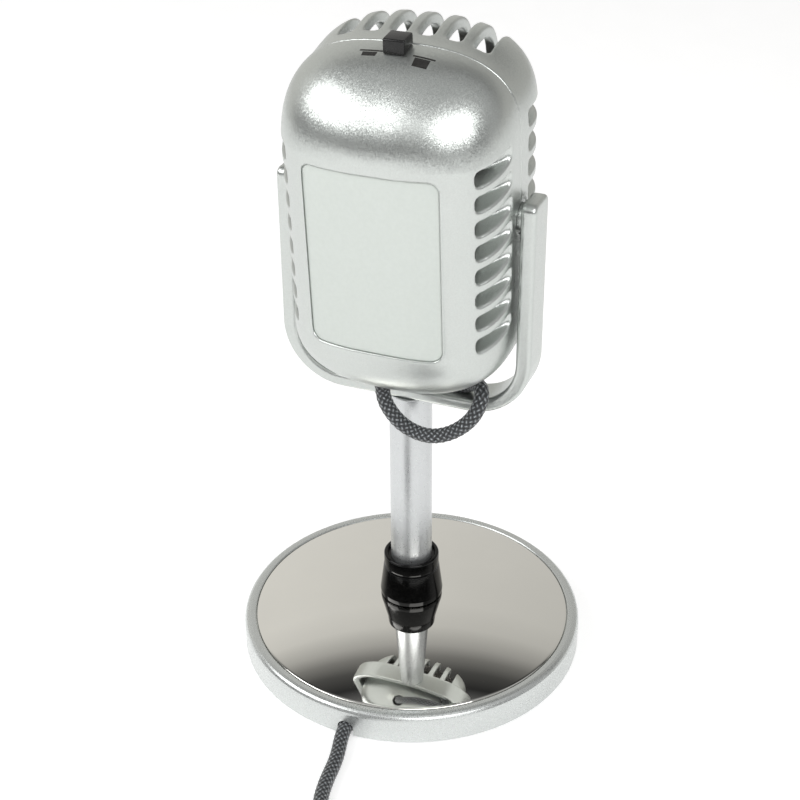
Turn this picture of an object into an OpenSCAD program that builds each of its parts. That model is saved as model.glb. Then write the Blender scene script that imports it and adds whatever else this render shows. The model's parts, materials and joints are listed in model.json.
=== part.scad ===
// Desktop microphone: slotted capsule-shaped head tilting in a U yoke on a
// tubular stem and a round weighted base with a domed polished plate.
// Origin: centre of the base's underside. +Z up, the grille faces -Y, the
// label side, the slide switch and the cord are at the back (+Y).

/* [Base] */
// Diameter of the round base
base_d = 100; // [96:1:110]
// Height of the polished dome at the centre above the table
dome_top = 15.8; // [15:0.1:16.4]
// Diameter of the steel weight inside the base
weight_d = 78; // [70:1:80]

/* [Stem] */
// Outer diameter of the stem tube
stem_d = 12; // [11.8:0.1:12]
// Bore of the stem tube, which the cord runs through
stem_bore = 9; // [8:0.2:9.4]
// Diameter of the black collar at its foot
collar_d = 18.4; // [17:0.2:20]

/* [Yoke] */
// Width over the outside of the two arms
yoke_w = 71.6; // [71.4:0.2:73]
// Front to back width of the yoke band
yoke_depth = 10.9; // [9:0.1:11]
// Outside radius of the yoke's lower corners
yoke_r = 17.5; // [14:0.5:18]

/* [Head] */
// Half width of the head at its seam
head_a = 30.4; // [30.2:0.05:30.9]
// Depth of the rear shell behind the seam
rear_b = 24.7; // [23:0.1:25]
// Depth of the front grille shell ahead of the seam
front_b = 26.8; // [24:0.1:27]
// How far the head leans back at rest, in degrees
rest_tilt = 4; // [0:1:6]

/* [Slots] */
// Number of slots on each side of the rear shell
side_slots = 8; // [6:1:8]
// Distance from one side slot to the next
side_pitch = 6.7; // [6.5:0.05:6.8]
// Height of a side slot
side_h = 4.3; // [3.6:0.1:4.4]
// Number of long slots over the front shell
front_slots = 6; // [4:2:6]
// Distance from one front slot to the next
front_pitch = 7.2; // [6.6:0.1:7.4]
// Width of a front slot
front_w = 4.3; // [3.6:0.1:4.4]

/* [Switch] */
// Width of the slide knob
knob_w = 5.6; // [4.5:0.1:6]
// Height of the slide knob above the shell
knob_h = 3; // [2.4:0.1:4]

/* [Cord] */
// Diameter of the braided cord
cord_d = 4; // [3.6:0.1:4]
// Diameter of the coil at the middle of its turns
coil_d = 48; // [46:1:50]

/* [Hidden] */

base_r = base_d / 2;
plate_r = base_r - 3.6;
sag_r = plate_r * plate_r / (2 * (dome_top - 9.64));   // radius of the dome's curve
stem_r = stem_d / 2;
pivot_z = 142;                     // height of the tilt axis above the table
arm_t = 4.2;
arm_top = 147.3;                   // flat top of the arms
arm_round = 2.2;                   // rounding of its front and back edges
arm_in = yoke_w / 2 - arm_t;       // inside face of an arm
yoke_bottom = 84.7;
yoke_top_face = 88.4;              // upper face of the band's bottom
seam_y = 1.2;                      // seam plane, measured from the tilt axis
top_z = 42.9;                      // top of the rear shell above the axis
top_z0 = 20.7;
low_z0 = -31.1;
low_z = -49.1;
pin_r = 2.5;
cr = cord_d / 2;
coil_r = coil_d / 2;
coil_h = 11.2;
coil_x = -6;
coil_y = 127;

// ---------- points of a smooth shell half ----------
function sgn(v) = v < 0 ? -1 : 1;
// exponent of the depth curve: m on the sides, mt at the top, mb at the bottom
function dexp(su, m, mt, mb) = su > 0 ? m + (mt - m) * su : m + (mb - m) * (-su);
// P = [a, b, zt, z0, z1, zb, nt, n0, nb, m, mt, mb]
function shell_pt(P, s, u) =
    let (cu = cos(u), su = sin(u),
         n = su > 0 ? P[7] + (P[6] - P[7]) * s : P[8],
         r = pow(pow(abs(cu), n) + pow(abs(su), n), -1 / n),
         mm = dexp(su, P[9], P[10], P[11]),
         y = P[1] * pow(max(0, 1 - pow(s, mm)), 1 / mm),
         x = P[0] * s * cu * r,
         z = su >= 0 ? P[3] + (P[2] - P[3]) * s * su * r : P[4] + (P[4] - P[5]) * s * su * r)
    [x, y, z];
// One ring: top half from +X to -X, then bottom half from -X to +X
function shell_ring(P, s, nu) = concat(
    [for (i = [0 : nu]) shell_pt(P, s, 180 * i / nu)],
    [for (i = [0 : nu]) let (q = shell_pt(P, s, 180 + 180 * i / nu), z = (i == 0 || i == nu) ? P[4] : q[2]) [q[0], q[1], z]]);
// Closed solid between the seam plane and the back of a half shell
module half_solid(P, nu = 20, nv = 9, dir = 1) {
    c = 2 * (nu + 1);
    vs = [for (k = [0 : nv]) 3.5 + (90 - 3.5) * (1 - k / nv)];
    rings = [for (k = [0 : nv]) shell_ring(P, sin(vs[k]), nu)];
    pts = [for (k = [0 : nv]) for (p = rings[k]) [p[0], p[1], p[2]]];
    // side quads
    sides = [for (k = [0 : nv - 1]) for (i = [0 : c - 1])
        let (j = (i + 1) % c) [k * c + i, (k + 1) * c + i, (k + 1) * c + j, k * c + j]];
    tris = [for (f = sides) each [[f[0], f[1], f[2]], [f[0], f[2], f[3]]]];
    front = [for (i = [0 : c - 1]) i];
    // strips across the last narrow ring
    e = nv * c;
    h = nu + 1;
    top = [for (i = [0 : floor(nu / 2) - 1]) each
        (i == floor(nu / 2) - 1 && nu % 2 == 0)
            ? [[e + i, e + nu - i, e + i + 1]]
            : [[e + i, e + nu - i, e + nu - i - 1], [e + i, e + nu - i - 1, e + i + 1]]];
    bot = [for (i = [0 : floor(nu / 2) - 1]) each
        (i == floor(nu / 2) - 1 && nu % 2 == 0)
            ? [[e + h + i, e + h + nu - i, e + h + i + 1]]
            : [[e + h + i, e + h + nu - i, e + h + nu - i - 1], [e + h + i, e + h + nu - i - 1, e + h + i + 1]]];
    mid = [[e + 0, e + c - 1, e + h], [e + 0, e + h, e + nu]];
    outward = concat([front], tris, top, bot, mid);
    faces = [for (f = outward) [for (i = [len(f) - 1 : -1 : 0]) f[i]]];
    if (dir > 0) polyhedron(points = pts, faces = faces, convexity = 4);
    else polyhedron(points = [for (p = pts) [p[0], -p[1], p[2]]], faces = outward, convexity = 4);
}
// rear shell surface, pulled in by d on the sides and e at the back
function rear_P(d = 0, e = 0) = [head_a - d, rear_b - e, top_z - d, top_z0, low_z0, low_z + d * 0.55,
    2.75, 1.85, 2.56, 2.82, 1.8, 3.3];
function rear_in() = [head_a - 3.1, rear_b - 2.6, top_z - 3.1, top_z0, low_z0, low_z + 2.6,
    2.75, 1.9, 2.56, 2.95, 1.9, 3.3];
function front_P(d = 0, e = 0) = [head_a + 0.15 - d, front_b - e, top_z + 0.2 - d, top_z0, low_z0, low_z + 0.4 + d * 0.55,
    2.7, 2.6, 2.56, 3.0, 3.6, 2.6];
function front_rib() = [head_a + 0.95, front_b, top_z + 2.0, top_z0, low_z0, low_z + 0.2,
    2.65, 2.6, 2.56, 3.0, 4.6, 2.6];
function front_in() = [head_a - 3.3, front_b - 2.8, top_z - 3.3, top_z0, low_z0, low_z + 2.8,
    2.7, 2.6, 2.56, 3.0, 3.5, 2.7];
module rear_solid(d = 0, e = 0) { translate([0, seam_y, 0]) half_solid(rear_P(d, e)); }
module head_pose() { translate([0, 0, pivot_z]) rotate([-rest_tilt, 0, 0]) children(); }
// height of the shell's top line at depth y behind the tilt axis
function top_line(y) = let (t = max(0, (y - seam_y) / rear_b)) top_z0 + (top_z - top_z0) * pow(max(0, 1 - pow(t, 1.8)), 1 / 1.8);

// ---------- round tube swept along hand-laid points ----------
function unit(v) = v / norm(v);
function tangent(p, i) = unit(p[min(i + 1, len(p) - 1)] - p[max(i - 1, 0)]);
function side_of(t) = abs(t[2]) > 0.9 ? unit(cross(t, [0, 1, 0])) : unit(cross(t, [0, 0, 1]));
function carry(v, t) = unit(v - t * (v * t));
function frames(p, i = 0, v = undef) = i >= len(p) ? [] :
    let (t = tangent(p, i), w = v == undef ? side_of(t) : carry(v, t)) concat([[t, w]], frames(p, i + 1, w));
module tube(p, r, sides = 8) {
    f = frames(p);
    n = len(p);
    pts = [for (i = [0 : n - 1]) for (k = [0 : sides - 1])
        let (a = 360 * k / sides, u = f[i][1], w = cross(f[i][0], u)) p[i] + r * (cos(a) * u + sin(a) * w)];
    body = [for (i = [0 : n - 2]) for (k = [0 : sides - 1])
        let (j = (k + 1) % sides) each [[i * sides + k, (i + 1) * sides + k, (i + 1) * sides + j],
            [i * sides + k, (i + 1) * sides + j, i * sides + j]]];
    polyhedron(points = pts, faces = concat(body, [[for (k = [0 : sides - 1]) k]],
        [[for (k = [sides - 1 : -1 : 0]) (n - 1) * sides + k]]), convexity = 6);
}
// the loop between the head and the yoke
loop_pts = [[2.6, 14.2, 97], [2.6, 14.02, 94.5], [2.5, 14, 92.2], [1.4, 14.7, 89.2], [-0.6, 15.3, 86.5],
    [-3.6, 15.5, 83.4], [-7.9, 15, 81.2], [-12, 14.5, 80.8], [-16, 13.5, 81.8], [-19.7, 12.4, 84.2],
    [-22.2, 11.2, 87], [-23.4, 9.8, 89.8], [-23.5, 8, 92], [-22.4, 5.6, 93], [-20.3, 3.2, 92.6],
    [-17.8, 1.4, 91], [-15, 0.4, 89.4], [-12, 0, 88.6], [-9, 0, 88.4]];
// hidden run down the stem and across the base
stem_pts = [[-9, 0, 88.4], [-6, 0, 88.4], [-3.4, 0, 88], [-1.3, 0, 86.6], [-0.3, 0, 84.6], [0, 0, 82], [0, 0, 50], [0, 0, 20],
    [0, 0.4, 15], [0, 1.6, 12.2], [0, 4, 10], [0, 8, 8.2], [0, 13, 6.2], [0, 19, 4.4], [0, 26, 3.4],
    [0, 34, 3], [0, 42, 3], [0, 49.6, 3]];
// free cord from the base to the coil
tail_pts = [[0, 49.6, 3], [-0.4, 53, 3], [-1.2, 56.5, 2.6], [-2, 60, 2.2], [-2.6, 64, 2], [-3, 68, 2],
    [-3.6, 72, 2], [-4.8, 77, 2], [-7.4, 82, 2], [-11.8, 87, 2], [-17.4, 91.6, 2], [-23.6, 96.4, 2],
    [-29.4, 101.8, 2], [-34, 108, 2], [-37.4, 114.6, 2], [-39.4, 121, 2], [-40.1, 126, 2]];
// last stretch, lying on the coil, into the plug
end_pts = [[-30, 113, 13.22], [-32, 119, 13.22], [-33, 125, 13.22], [-33, 131, 13.22], [-32, 136.5, 13.22],
    [-29.5, 141.5, 13.4], [-26, 145.5, 13.9], [-21.5, 148, 14.6], [-17, 149, 15.15]];
plug_at = [-17, 149, 15.15];
plug_dir = 0;                      // heading of the plug in plan, degrees

// ---------- base ----------
module base_shell() {
    color([0.72, 0.74, 0.72]) difference() {
        rotate_extrude($fn = 120) difference() {
            union() {
                polygon([[0, 7], [base_r - 2, 7], [base_r - 2, 0.6], [base_r, 0.6], [base_r, 7.9],
                    [base_r - 0.15, 8.6], [base_r - 0.55, 9.2], [base_r - 1.1, 9.6], [base_r - 1.9, 9.75],
                    [base_r - 3.2, 9.75], [base_r - 3.4, 9.5], [base_r - 3.4, 8.8], [43, 8.8], [43, 8.4], [0, 8.4]]);
                polygon([[0, 7], [20, 7], [20, 8.4], [0, 8.4]]);
            }
        }
        // clearance for the stem and an oblong window for the cord
        translate([0, 0, 6]) cylinder(r = stem_r + 0.05, h = 4, $fn = 60);
        translate([-2.7, 0, 6]) cube([5.4, 24, 4]);
        // notch in the rim for the cord
        translate([0, base_r - 6, 3]) rotate([-90, 0, 0]) cylinder(r = cr + 0.35, h = 10, $fn = 40);
        translate([-cr - 0.35, base_r - 6, 0]) cube([2 * cr + 0.7, 10, 3]);
        for (a = [30, 150, 270]) rotate([0, 0, a]) translate([10.6, 0, 6]) cylinder(r = 1.3, h = 4, $fn = 24);
        for (x = [-9, 9]) translate([x, 37, 6]) cylinder(r = 1, h = 1.9, $fn = 24);
        for (a = [30, 150, 270]) rotate([0, 0, a]) translate([43, 0, 6]) cylinder(r = 1.3, h = 1.8, $fn = 24);
    }
    color([0.72, 0.74, 0.72]) for (a = [30, 150, 270]) rotate([0, 0, a]) translate([43, 0, 1.85])
        difference() { cylinder(r = 2.9, h = 5.15, $fn = 32); translate([0, 0, -1]) cylinder(r = 1.3, h = 7, $fn = 24); }
}
function dome_z(r) = dome_top - r * r / (2 * sag_r);
module base_mirror_plate() {
    color([0.86, 0.86, 0.85]) rotate_extrude($fn = 120)
        polygon(concat([for (i = [0 : 16]) let (r = 6.1 + (plate_r - 6.1) * i / 16) [r, dome_z(r)]],
            [for (i = [16 : -1 : 0]) let (r = 6.1 + (plate_r - 6.1) * i / 16) [r, dome_z(r) - 0.78]]));
}
module base_weight() {
    color([0.35, 0.36, 0.37]) difference() {
        translate([0, 0, 2.1]) cylinder(r = weight_d / 2, h = 4.4, $fn = 90);
        translate([0, 0, 2]) cylinder(r = 14.5, h = 5, $fn = 48);
        translate([-3, 0, 2]) cube([6, 50, 5]);
        translate([-13, 31, 2]) cube([26, 12, 5]);
    }
}
module base_bottom_cover() {
    color([0.15, 0.15, 0.16]) difference() {
        translate([0, 0, 0.6]) cylinder(r = base_r - 2.1, h = 1.2, $fn = 90);
        for (a = [30, 150, 270]) rotate([0, 0, a]) translate([43, 0, 0]) cylinder(r = 1.35, h = 3, $fn = 24);
        translate([-2.4, 18, 0.95]) cube([4.8, 32, 1.2]);
    }
}
module base_foot_pads() {
    color([0.08, 0.08, 0.08]) for (a = [45 : 90 : 315]) rotate([0, 0, a]) translate([36, 0, 0]) cylinder(r = 5, h = 0.6, $fn = 40);
}
module screw(l, r = 1.05, hr = 2.1, hh = 1.1) {
    cylinder(r = r, h = l, $fn = 20);
    difference() {
        translate([0, 0, -hh]) cylinder(r = hr, h = hh, $fn = 24);
        for (a = [0, 90]) rotate([0, 0, a]) translate([-1.4, -0.25, -hh - 0.1]) cube([2.8, 0.5, 0.6]);
    }
}
module base_cover_screws() {
    color([0.6, 0.6, 0.6]) for (a = [30, 150, 270]) rotate([0, 0, a]) translate([43, 0, 0.6]) screw(5.6, 1.05, 2.2, 0.5);
}
module base_cord_clamp() {
    color([0.12, 0.12, 0.12]) difference() {
        translate([-12, 34, 5.2]) cube([24, 6, 1.75]);
        translate([0, 30, 3]) rotate([-90, 0, 0]) cylinder(r = cr + 0.3, h = 14, $fn = 32);
        for (x = [-9, 9]) translate([x, 37, 4]) cylinder(r = 1.1, h = 5, $fn = 24);
    }
}
module base_clamp_screws() { color([0.6, 0.6, 0.6]) for (x = [-9, 9]) translate([x, 37, 5.2]) screw(2.6, 0.95, 1.9, 1.0); }

// ---------- stem ----------
module stem_collar() {
    color([0.04, 0.04, 0.04]) rotate_extrude($fn = 72)
        polygon([[6.06, dome_top + 0.02], [collar_d / 2 - 0.1, dome_top + 0.02], [collar_d / 2, dome_top + 0.4], [collar_d / 2, dome_top + 1.3],
            [collar_d / 2 - 0.15, dome_top + 2.6], [8.2, 25.4], [7.95, 25.9],
            [8.05, 26.4], [8.05, 28.9], [7.85, 29.6], [7.4, 30], [6.9, 30], [6.7, 29.6], [6.7, 28.6], [6.06, 28.6]]);
}
module stem_tube() {
    color([0.74, 0.75, 0.74]) difference() {
        translate([0, 0, 7.2]) cylinder(r = stem_r, h = yoke_bottom - 7.22, $fn = 72);
        translate([0, 0, 5]) cylinder(r = stem_bore / 2, h = 100, $fn = 60);
        translate([-2.6, 0, 5]) cube([5.2, 10, 7.9]);
    }
}
module stem_flange() {
    color([0.5, 0.5, 0.5]) difference() {
        translate([0, 0, 8.42]) cylinder(r = 14, h = 2.2, $fn = 60);
        translate([0, 0, 8]) cylinder(r = stem_r + 0.03, h = 4, $fn = 60);
        translate([-2.7, 0, 8]) cube([5.4, 20, 4]);
        for (a = [30, 150, 270]) rotate([0, 0, a]) translate([10.6, 0, 8]) cylinder(r = 1.1, h = 4, $fn = 24);
    }
}
module stem_flange_screws() {
    color([0.6, 0.6, 0.6]) for (a = [30, 150, 270]) rotate([0, 0, a]) translate([10.6, 0, 7]) screw(3.5, 1.05, 2.1, 1.1);
}

// ---------- yoke ----------
module yoke_outline(w, zb, r, zt) {
    // U filled solid: rounded lower corners
    union() {
        translate([-w, zb + r]) square([2 * w, zt - zb - r]);
        translate([-w + r, zb]) square([2 * (w - r), r + 1]);
        for (s = [-1, 1]) translate([s * (w - r), zb + r]) circle(r = r, $fn = 96);
    }
}
module yoke() {
    w = yoke_w / 2;
    color([0.72, 0.74, 0.72]) difference() {
        intersection() {
            translate([0, yoke_depth / 2, 0]) rotate([90, 0, 0]) linear_extrude(yoke_depth) difference() {
                yoke_outline(w, yoke_bottom, yoke_r, pivot_z + 8);
                yoke_outline(arm_in, yoke_top_face - 1.1, yoke_r - arm_t, pivot_z + 20);
            }
            union() {
                for (s = [-1, 1]) translate([-60, s * (yoke_depth / 2 - arm_round), arm_top - arm_round]) rotate([0, 90, 0]) cylinder(r = arm_round, h = 120, $fn = 48);
                translate([-60, -yoke_depth / 2 + arm_round, 0]) cube([120, yoke_depth - 2 * arm_round, arm_top]);
                translate([-60, -20, 0]) cube([120, 40, arm_top - arm_round]);
            }
        }
        // cord channel and the hole over the stem
        translate([0, 0, 80]) cylinder(r = 2.6, h = 12, $fn = 40);
        translate([-16, -2.4, 86]) cube([16, 4.8, 4]);
        translate([-0.8, 0, 84.6]) cylinder(r1 = 2.5, r2 = 4.6, h = 4, $fn = 40);
        // blind sockets for the pivot pins
        for (s = [-1, 1]) translate([s * (arm_in + 2.2), 0, pivot_z]) rotate([0, -90 * s, 0]) cylinder(r = pin_r + 0.02, h = 8, $fn = 48);
    }
}
module yoke_inner_cover() {
    color([0.76, 0.78, 0.76]) difference() {
        translate([0, yoke_depth / 2 - 1, 0]) rotate([90, 0, 0]) linear_extrude(yoke_depth - 2)
            polygon([[-17, yoke_top_face - 1.08], [17, yoke_top_face - 1.08], [17, yoke_top_face], [-17, yoke_top_face]]);
        translate([0, 0, 80]) cylinder(r = 2.6, h = 12, $fn = 40);
        translate([-20, -2.4, 80]) cube([20, 4.8, 14]);
    }
}
module yoke_spigot() {
    color([0.6, 0.6, 0.6]) difference() {
        translate([0, 0, 74]) cylinder(r = stem_bore / 2 - 0.02, h = yoke_bottom - 74 - 0.02, $fn = 60);
        translate([0, 0, 70]) cylinder(r = 2.6, h = 20, $fn = 40);
    }
}
module pivot_pins() {
    color([0.75, 0.76, 0.78]) for (s = [-1, 1]) translate([s * 27, 0, pivot_z]) rotate([0, 90 * s, 0])
        cylinder(r = pin_r, h = arm_in + 2.15 - 27, $fn = 48);
}

// ---------- head ----------
module bosses(y0, y1, r) { for (x = [-12, 12], z = [8, -25]) translate([x, y0, z]) rotate([-90, 0, 0]) cylinder(r = r, h = y1 - y0, $fn = 28); }
module label_prism(g = 0) {
    w = 18.3 - g;
    lo = -32.3 + g;
    hi = 18.4 - g;
    translate([0.9, 40, 0]) rotate([90, 0, 0]) linear_extrude(40) union() {
        translate([-w, lo + 3]) square([2 * w, hi - lo - 6]);
        translate([-w + 3, lo]) square([2 * w - 6, hi - lo]);
        for (x = [-w + 3, w - 3], z = [lo + 3, hi - 3]) translate([x, z]) circle(r = 3, $fn = 28);
    }
}
// leaf-shaped slot in side view: level at the back, sweeping up to a tip in front
module side_leaf(y_tip, y_back, rise) {
    n = 6;
    lo = [for (i = [0 : n]) let (t = i / n) [y_back + (y_tip - y_back) * t, rise * pow(t, 1.5)]];
    polygon(concat(lo, [for (i = [n : -1 : 0]) let (t = i / n) [lo[i][0] + (i == n ? 0.9 : 0), lo[i][1] + side_h - 0.6 * pow(t, 3)]]));
}
module side_cut(z, x0, y_tip, y_back, rise) {
    for (s = [-1, 1]) translate([s > 0 ? x0 : -x0 - 9, 0, z]) rotate([90, 0, 90]) linear_extrude(9) side_leaf(y_tip, y_back, rise);
}
module rear_shell() {
    color([0.72, 0.74, 0.72]) head_pose() difference() {
        union() {
            difference() { rear_solid(); translate([0, seam_y - 0.01, 0]) half_solid(rear_in(), 16, 8); }
            intersection() { rear_solid(0.5, 0.5); union() { bosses(seam_y, 26, 3.3); for (x = [-7, 7]) translate([x, 4, 34]) cylinder(r = 1.7, h = 7, $fn = 20); } }
        }
        // label recess
        difference() { label_prism(); rear_solid(1.0, 1.0); }
        // screw bores
        bosses(seam_y - 1, 30, 1.3);
        bosses(seam_y + 4, 30, 2.6);
        for (k = [0 : side_slots - 1]) side_cut(15.8 - side_pitch * k, 25.4, 7.4, 21, 3.4);
        // pivot bush seats, switch window, cord hole
        for (s = [-1, 1]) translate([s * 20, 0, 0]) rotate([0, 90 * s, 0]) cylinder(r = 4.55, h = 14, $fn = 40);
        translate([-2.3, 2.6, 30]) cube([4.6, 2.4, 20]);
        translate([2.6, 17.3, -60]) cylinder(r = 3.05, h = 20, $fn = 32);
    }
}
module label_plate() {
    color([0.87, 0.89, 0.87]) head_pose() intersection() { label_prism(0.15); difference() { rear_solid(0.45, 0.45); rear_solid(0.98, 0.98); } }
}
module front_grille_shell() {
    color([0.72, 0.74, 0.72]) head_pose() difference() {
        union() {
            difference() {
                union() {
                    translate([0, seam_y - 0.1, 0]) half_solid(front_P(), 20, 9, -1);
                    // the ribs swell out of the seam over a few millimetres
                    intersection() {
                        translate([0, seam_y - 0.1, 0]) half_solid(front_rib(), 20, 9, -1);
                        translate([-40, 0, 0]) rotate([90, 0, 90]) linear_extrude(80)
                            polygon([[-40, -60], [-40, 60], [-14.2, 60], [-14, 44.6], [-10, 44.3], [-6, 43.8], [-3.4, 43.3], [-0.4, 42.8], [-0.4, -60]]);
                        translate([0, 0, -60]) linear_extrude(120)
                            polygon([[-45, -40], [45, -40], [45, -14], [31.4, -14], [31.1, -9], [30.8, -5], [30.4, -0.4], [-30.4, -0.4], [-30.8, -5], [-31.1, -9], [-31.4, -14], [-45, -14]]);
                    }
                }
                translate([0, seam_y - 0.09, 0]) half_solid(front_in(), 16, 8, -1);
            }
            intersection() { translate([0, seam_y - 0.1, 0]) half_solid(front_P(1, 1), 16, 8, -1); bosses(-30, seam_y - 0.1, 3.3); }
        }
        bosses(-18, seam_y, 1.1);
        // long slots over the top, down the front and under the bottom
        for (k = [0 : front_slots - 1]) let (x = (k - (front_slots - 1) / 2) * front_pitch) {
            translate([x - front_w / 2, -40, 5]) cube([front_w, 35.8, 60]);
            translate([x - front_w / 2, -40, -60]) cube([front_w, 34, 57]);
        }
        // side slots
        for (k = [0 : side_slots]) side_cut(22.4 - side_pitch * k, 24.6, -22, -4.5, 0);
        for (s = [-1, 1]) translate([s * 20, 0, 0]) rotate([0, 90 * s, 0]) cylinder(r = 4.55, h = 14, $fn = 40);
    }
}
module shell_screws() {
    color([0.6, 0.6, 0.6]) head_pose() for (x = [-12, 12], z = [8, -25]) translate([x, seam_y + 4.02, z]) rotate([90, 0, 0]) screw(11, 1.05, 2.3, 1.4);
}
module pivot_bushes() {
    color([0.12, 0.12, 0.12]) head_pose() for (s = [-1, 1]) rotate([0, 90 * s, 0]) difference() {
        translate([0, 0, 24.4]) cylinder(r = 4.5, h = 5.8, $fn = 48);
        translate([0, 0, 20]) cylinder(r = pin_r + 0.03, h = 14, $fn = 48);
    }
}
module pivot_washers() {
    color([0.2, 0.2, 0.2]) head_pose() for (s = [-1, 1]) rotate([0, 90 * s, 0]) difference() {
        translate([0, 0, 30.3]) cylinder(r = 3.6, h = 1.2, $fn = 48);
        translate([0, 0, 20]) cylinder(r = pin_r + 0.05, h = 14, $fn = 48);
    }
}
module foam_half(P, Q, dir, y) {
    difference() {
        translate([0, y, 0]) half_solid(P, 12, 6, dir);
        translate([0, y - dir * 0.01, 0]) half_solid(Q, 12, 6, dir);
        bosses(-30, 30, 3.6);
        for (s = [-1, 1]) translate([s * 18, 0, 0]) rotate([0, 90 * s, 0]) cylinder(r = 5.2, h = 14, $fn = 24);
    }
}
module foam_rear() {
    color([0.16, 0.15, 0.14]) head_pose() difference() {
        foam_half([head_a - 7.2, rear_b - 6, 30, 12, -24, -42, 2.6, 2.4, 2.6, 3.4, 3, 3.4],
            [head_a - 10.2, rear_b - 9, 27, 10, -22, -39, 2.6, 2.4, 2.6, 3.4, 3, 3.4], 1, seam_y + 0.1);
        translate([2.6, 17.3, -60]) cylinder(r = 6.6, h = 40, $fn = 24);
        // slit for the switch's wires
        translate([-7, 1, 19]) cube([8, 8, 13]);
    }
}
module foam_front() {
    color([0.16, 0.15, 0.14]) head_pose() foam_half([head_a - 7.4, front_b - 3.4, 33, 12, -24, -42, 2.6, 2.4, 2.6, 3.4, 3.4, 3],
        [head_a - 10.4, front_b - 6.4, 30, 10, -22, -39, 2.6, 2.4, 2.6, 3.4, 3.4, 3], -1, seam_y - 0.2);
}
module mic_capsule() {
    color([0.75, 0.75, 0.77]) head_pose() translate([0, -11, 0]) rotate([90, 0, 0]) difference() {
        cylinder(r = 4.85, h = 6.7, $fn = 48);
        translate([0, 0, 6.3]) cylinder(r = 3.6, h = 1, $fn = 36);
    }
}
module capsule_boot() {
    color([0.1, 0.1, 0.1]) head_pose() translate([0, -9.6, 0]) rotate([90, 0, 0]) difference() {
        cylinder(r = 6.3, h = 7.4, $fn = 48);
        translate([0, 0, 1.38]) cylinder(r = 4.87, h = 10, $fn = 48);
        cylinder(r = 2, h = 4, $fn = 24, center = true);
    }
}
module capsule_bracket() {
    color([0.2, 0.2, 0.2]) head_pose() difference() {
        union() {
            translate([-12, -9.5, 5]) cube([24, 2, 6]);
            translate([-12, -9.5, -28]) cube([24, 2, 6]);
            translate([-4, -9.5, -24]) cube([8, 2, 30]);
            translate([0, -7.5, 0]) rotate([90, 0, 0]) cylinder(r = 7.5, h = 2, $fn = 48);
        }
        translate([0, 0, 0]) rotate([90, 0, 0]) cylinder(r = 2.5, h = 40, $fn = 24);
        bosses(-30, 5, 3.4);
    }
}
module switch_knob() {
    z = top_line(1.4) + 0.12;
    color([0.03, 0.03, 0.03]) head_pose() union() {
        translate([-knob_w / 2, 0, 0]) rotate([90, 0, 90]) linear_extrude(knob_w)
            polygon([[1.4, z], [4, z - 0.1], [6.9, top_line(6.9) + 0.2], [6.9, z + knob_h - 0.6], [6.4, z + knob_h - 0.1], [1.9, z + knob_h], [1.4, z + knob_h - 0.5]]);
        translate([-1.1, 2.9, 38.4]) cube([2.2, 1.8, z + 1 - 38.4]);
    }
}
module switch_body() {
    color([0.8, 0.8, 0.82]) head_pose() difference() {
        translate([-4.4, 1.6, 34.6]) cube([8.8, 4.2, 3.6]);
        translate([-2.4, 2.7, 37.2]) cube([4.8, 2.2, 4]);
    }
}
module switch_board() {
    color([0.1, 0.35, 0.16]) head_pose() difference() {
        translate([-9.5, 1.45, 32.8]) cube([19, 5.2, 1.2]);
        for (x = [-7, 7]) translate([x, 4, 30]) cylinder(r = 1.1, h = 6, $fn = 20);
    }
    color([0.8, 0.8, 0.7]) head_pose() for (x = [-2.5, 0, 2.5]) translate([x - 0.3, 3.4, 31.2]) cube([0.6, 0.6, 3.38]);
}
module switch_board_screws() { color([0.6, 0.6, 0.6]) head_pose() for (x = [-7, 7]) translate([x, 4, 32.8]) screw(1.1, 1.0, 1.7, 0.8); }
module head_cord_grommet() {
    color([0.05, 0.05, 0.05]) head_pose() translate([2.6, 17.3, 0]) difference() {
        translate([0, 0, -48.6]) cylinder(r = 3, h = 4.2, $fn = 36);
        translate([0, 0, -60]) cylinder(r = 2.3, h = 30, $fn = 36);
        translate([0, 0, -48.7]) cylinder(r1 = 2.8, r2 = 2.3, h = 2, $fn = 36);
    }
}
module head_cord_knot() {
    color([0.9, 0.9, 0.88]) head_pose() translate([2.9, 17.1, -42.3]) difference() {
        cylinder(r = 3.3, h = 2.4, $fn = 36);
        translate([0, 0, -1]) cylinder(r = 2.35, h = 5, $fn = 36);
    }
}
module head_wires() {
    color([0.7, 0.1, 0.1]) head_pose() tube([[2.4, 16.8, -39.5], [2, 14.5, -34], [0, 8, -22], [-5, 4, -5], [-6, 5, 12], [-3.5, 5, 24], [-2.5, 3.7, 31]], 0.5, 8);
    color([0.8, 0.8, 0.8]) head_pose() tube([[3.6, 16.6, -39.5], [4, 13, -33], [4, 4, -20], [2, -4, -8], [0, -7, -1], [0, -9.8, 0]], 0.5, 8);
}

// ---------- cord ----------
module cord_loop() { color([0.22, 0.23, 0.24]) tube(loop_pts, cr, 10); }
module cord_in_stem() { color([0.22, 0.23, 0.24]) tube(stem_pts, cr, 10); }
module cord_tail() { color([0.22, 0.23, 0.24]) tube(tail_pts, cr, 10); }
module cord_coil() {
    color([0.22, 0.23, 0.24]) difference() {
        translate([coil_x, coil_y, 0]) rotate_extrude($fn = 72)
            polygon([[coil_r - 8, 1.2], [coil_r - 7, 0.2], [coil_r - 6, 0], [coil_r + 8, 0], [coil_r + 8.6, 1.6],
                [coil_r + 8.6, 2.4], [coil_r + 7.2, 4.6], [coil_r + 7.2, 8.6], [coil_r + 5, coil_h], [coil_r - 6, coil_h], [coil_r - 7.6, 10]]);
        // waist under and around the tie
        translate([coil_x, coil_y, 0]) translate([coil_r - 20, -4.2, -1]) cube([40, 8.4, 1.8]);
    }
}
module cord_end() { color([0.22, 0.23, 0.24]) tube(end_pts, cr, 10); }
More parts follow.
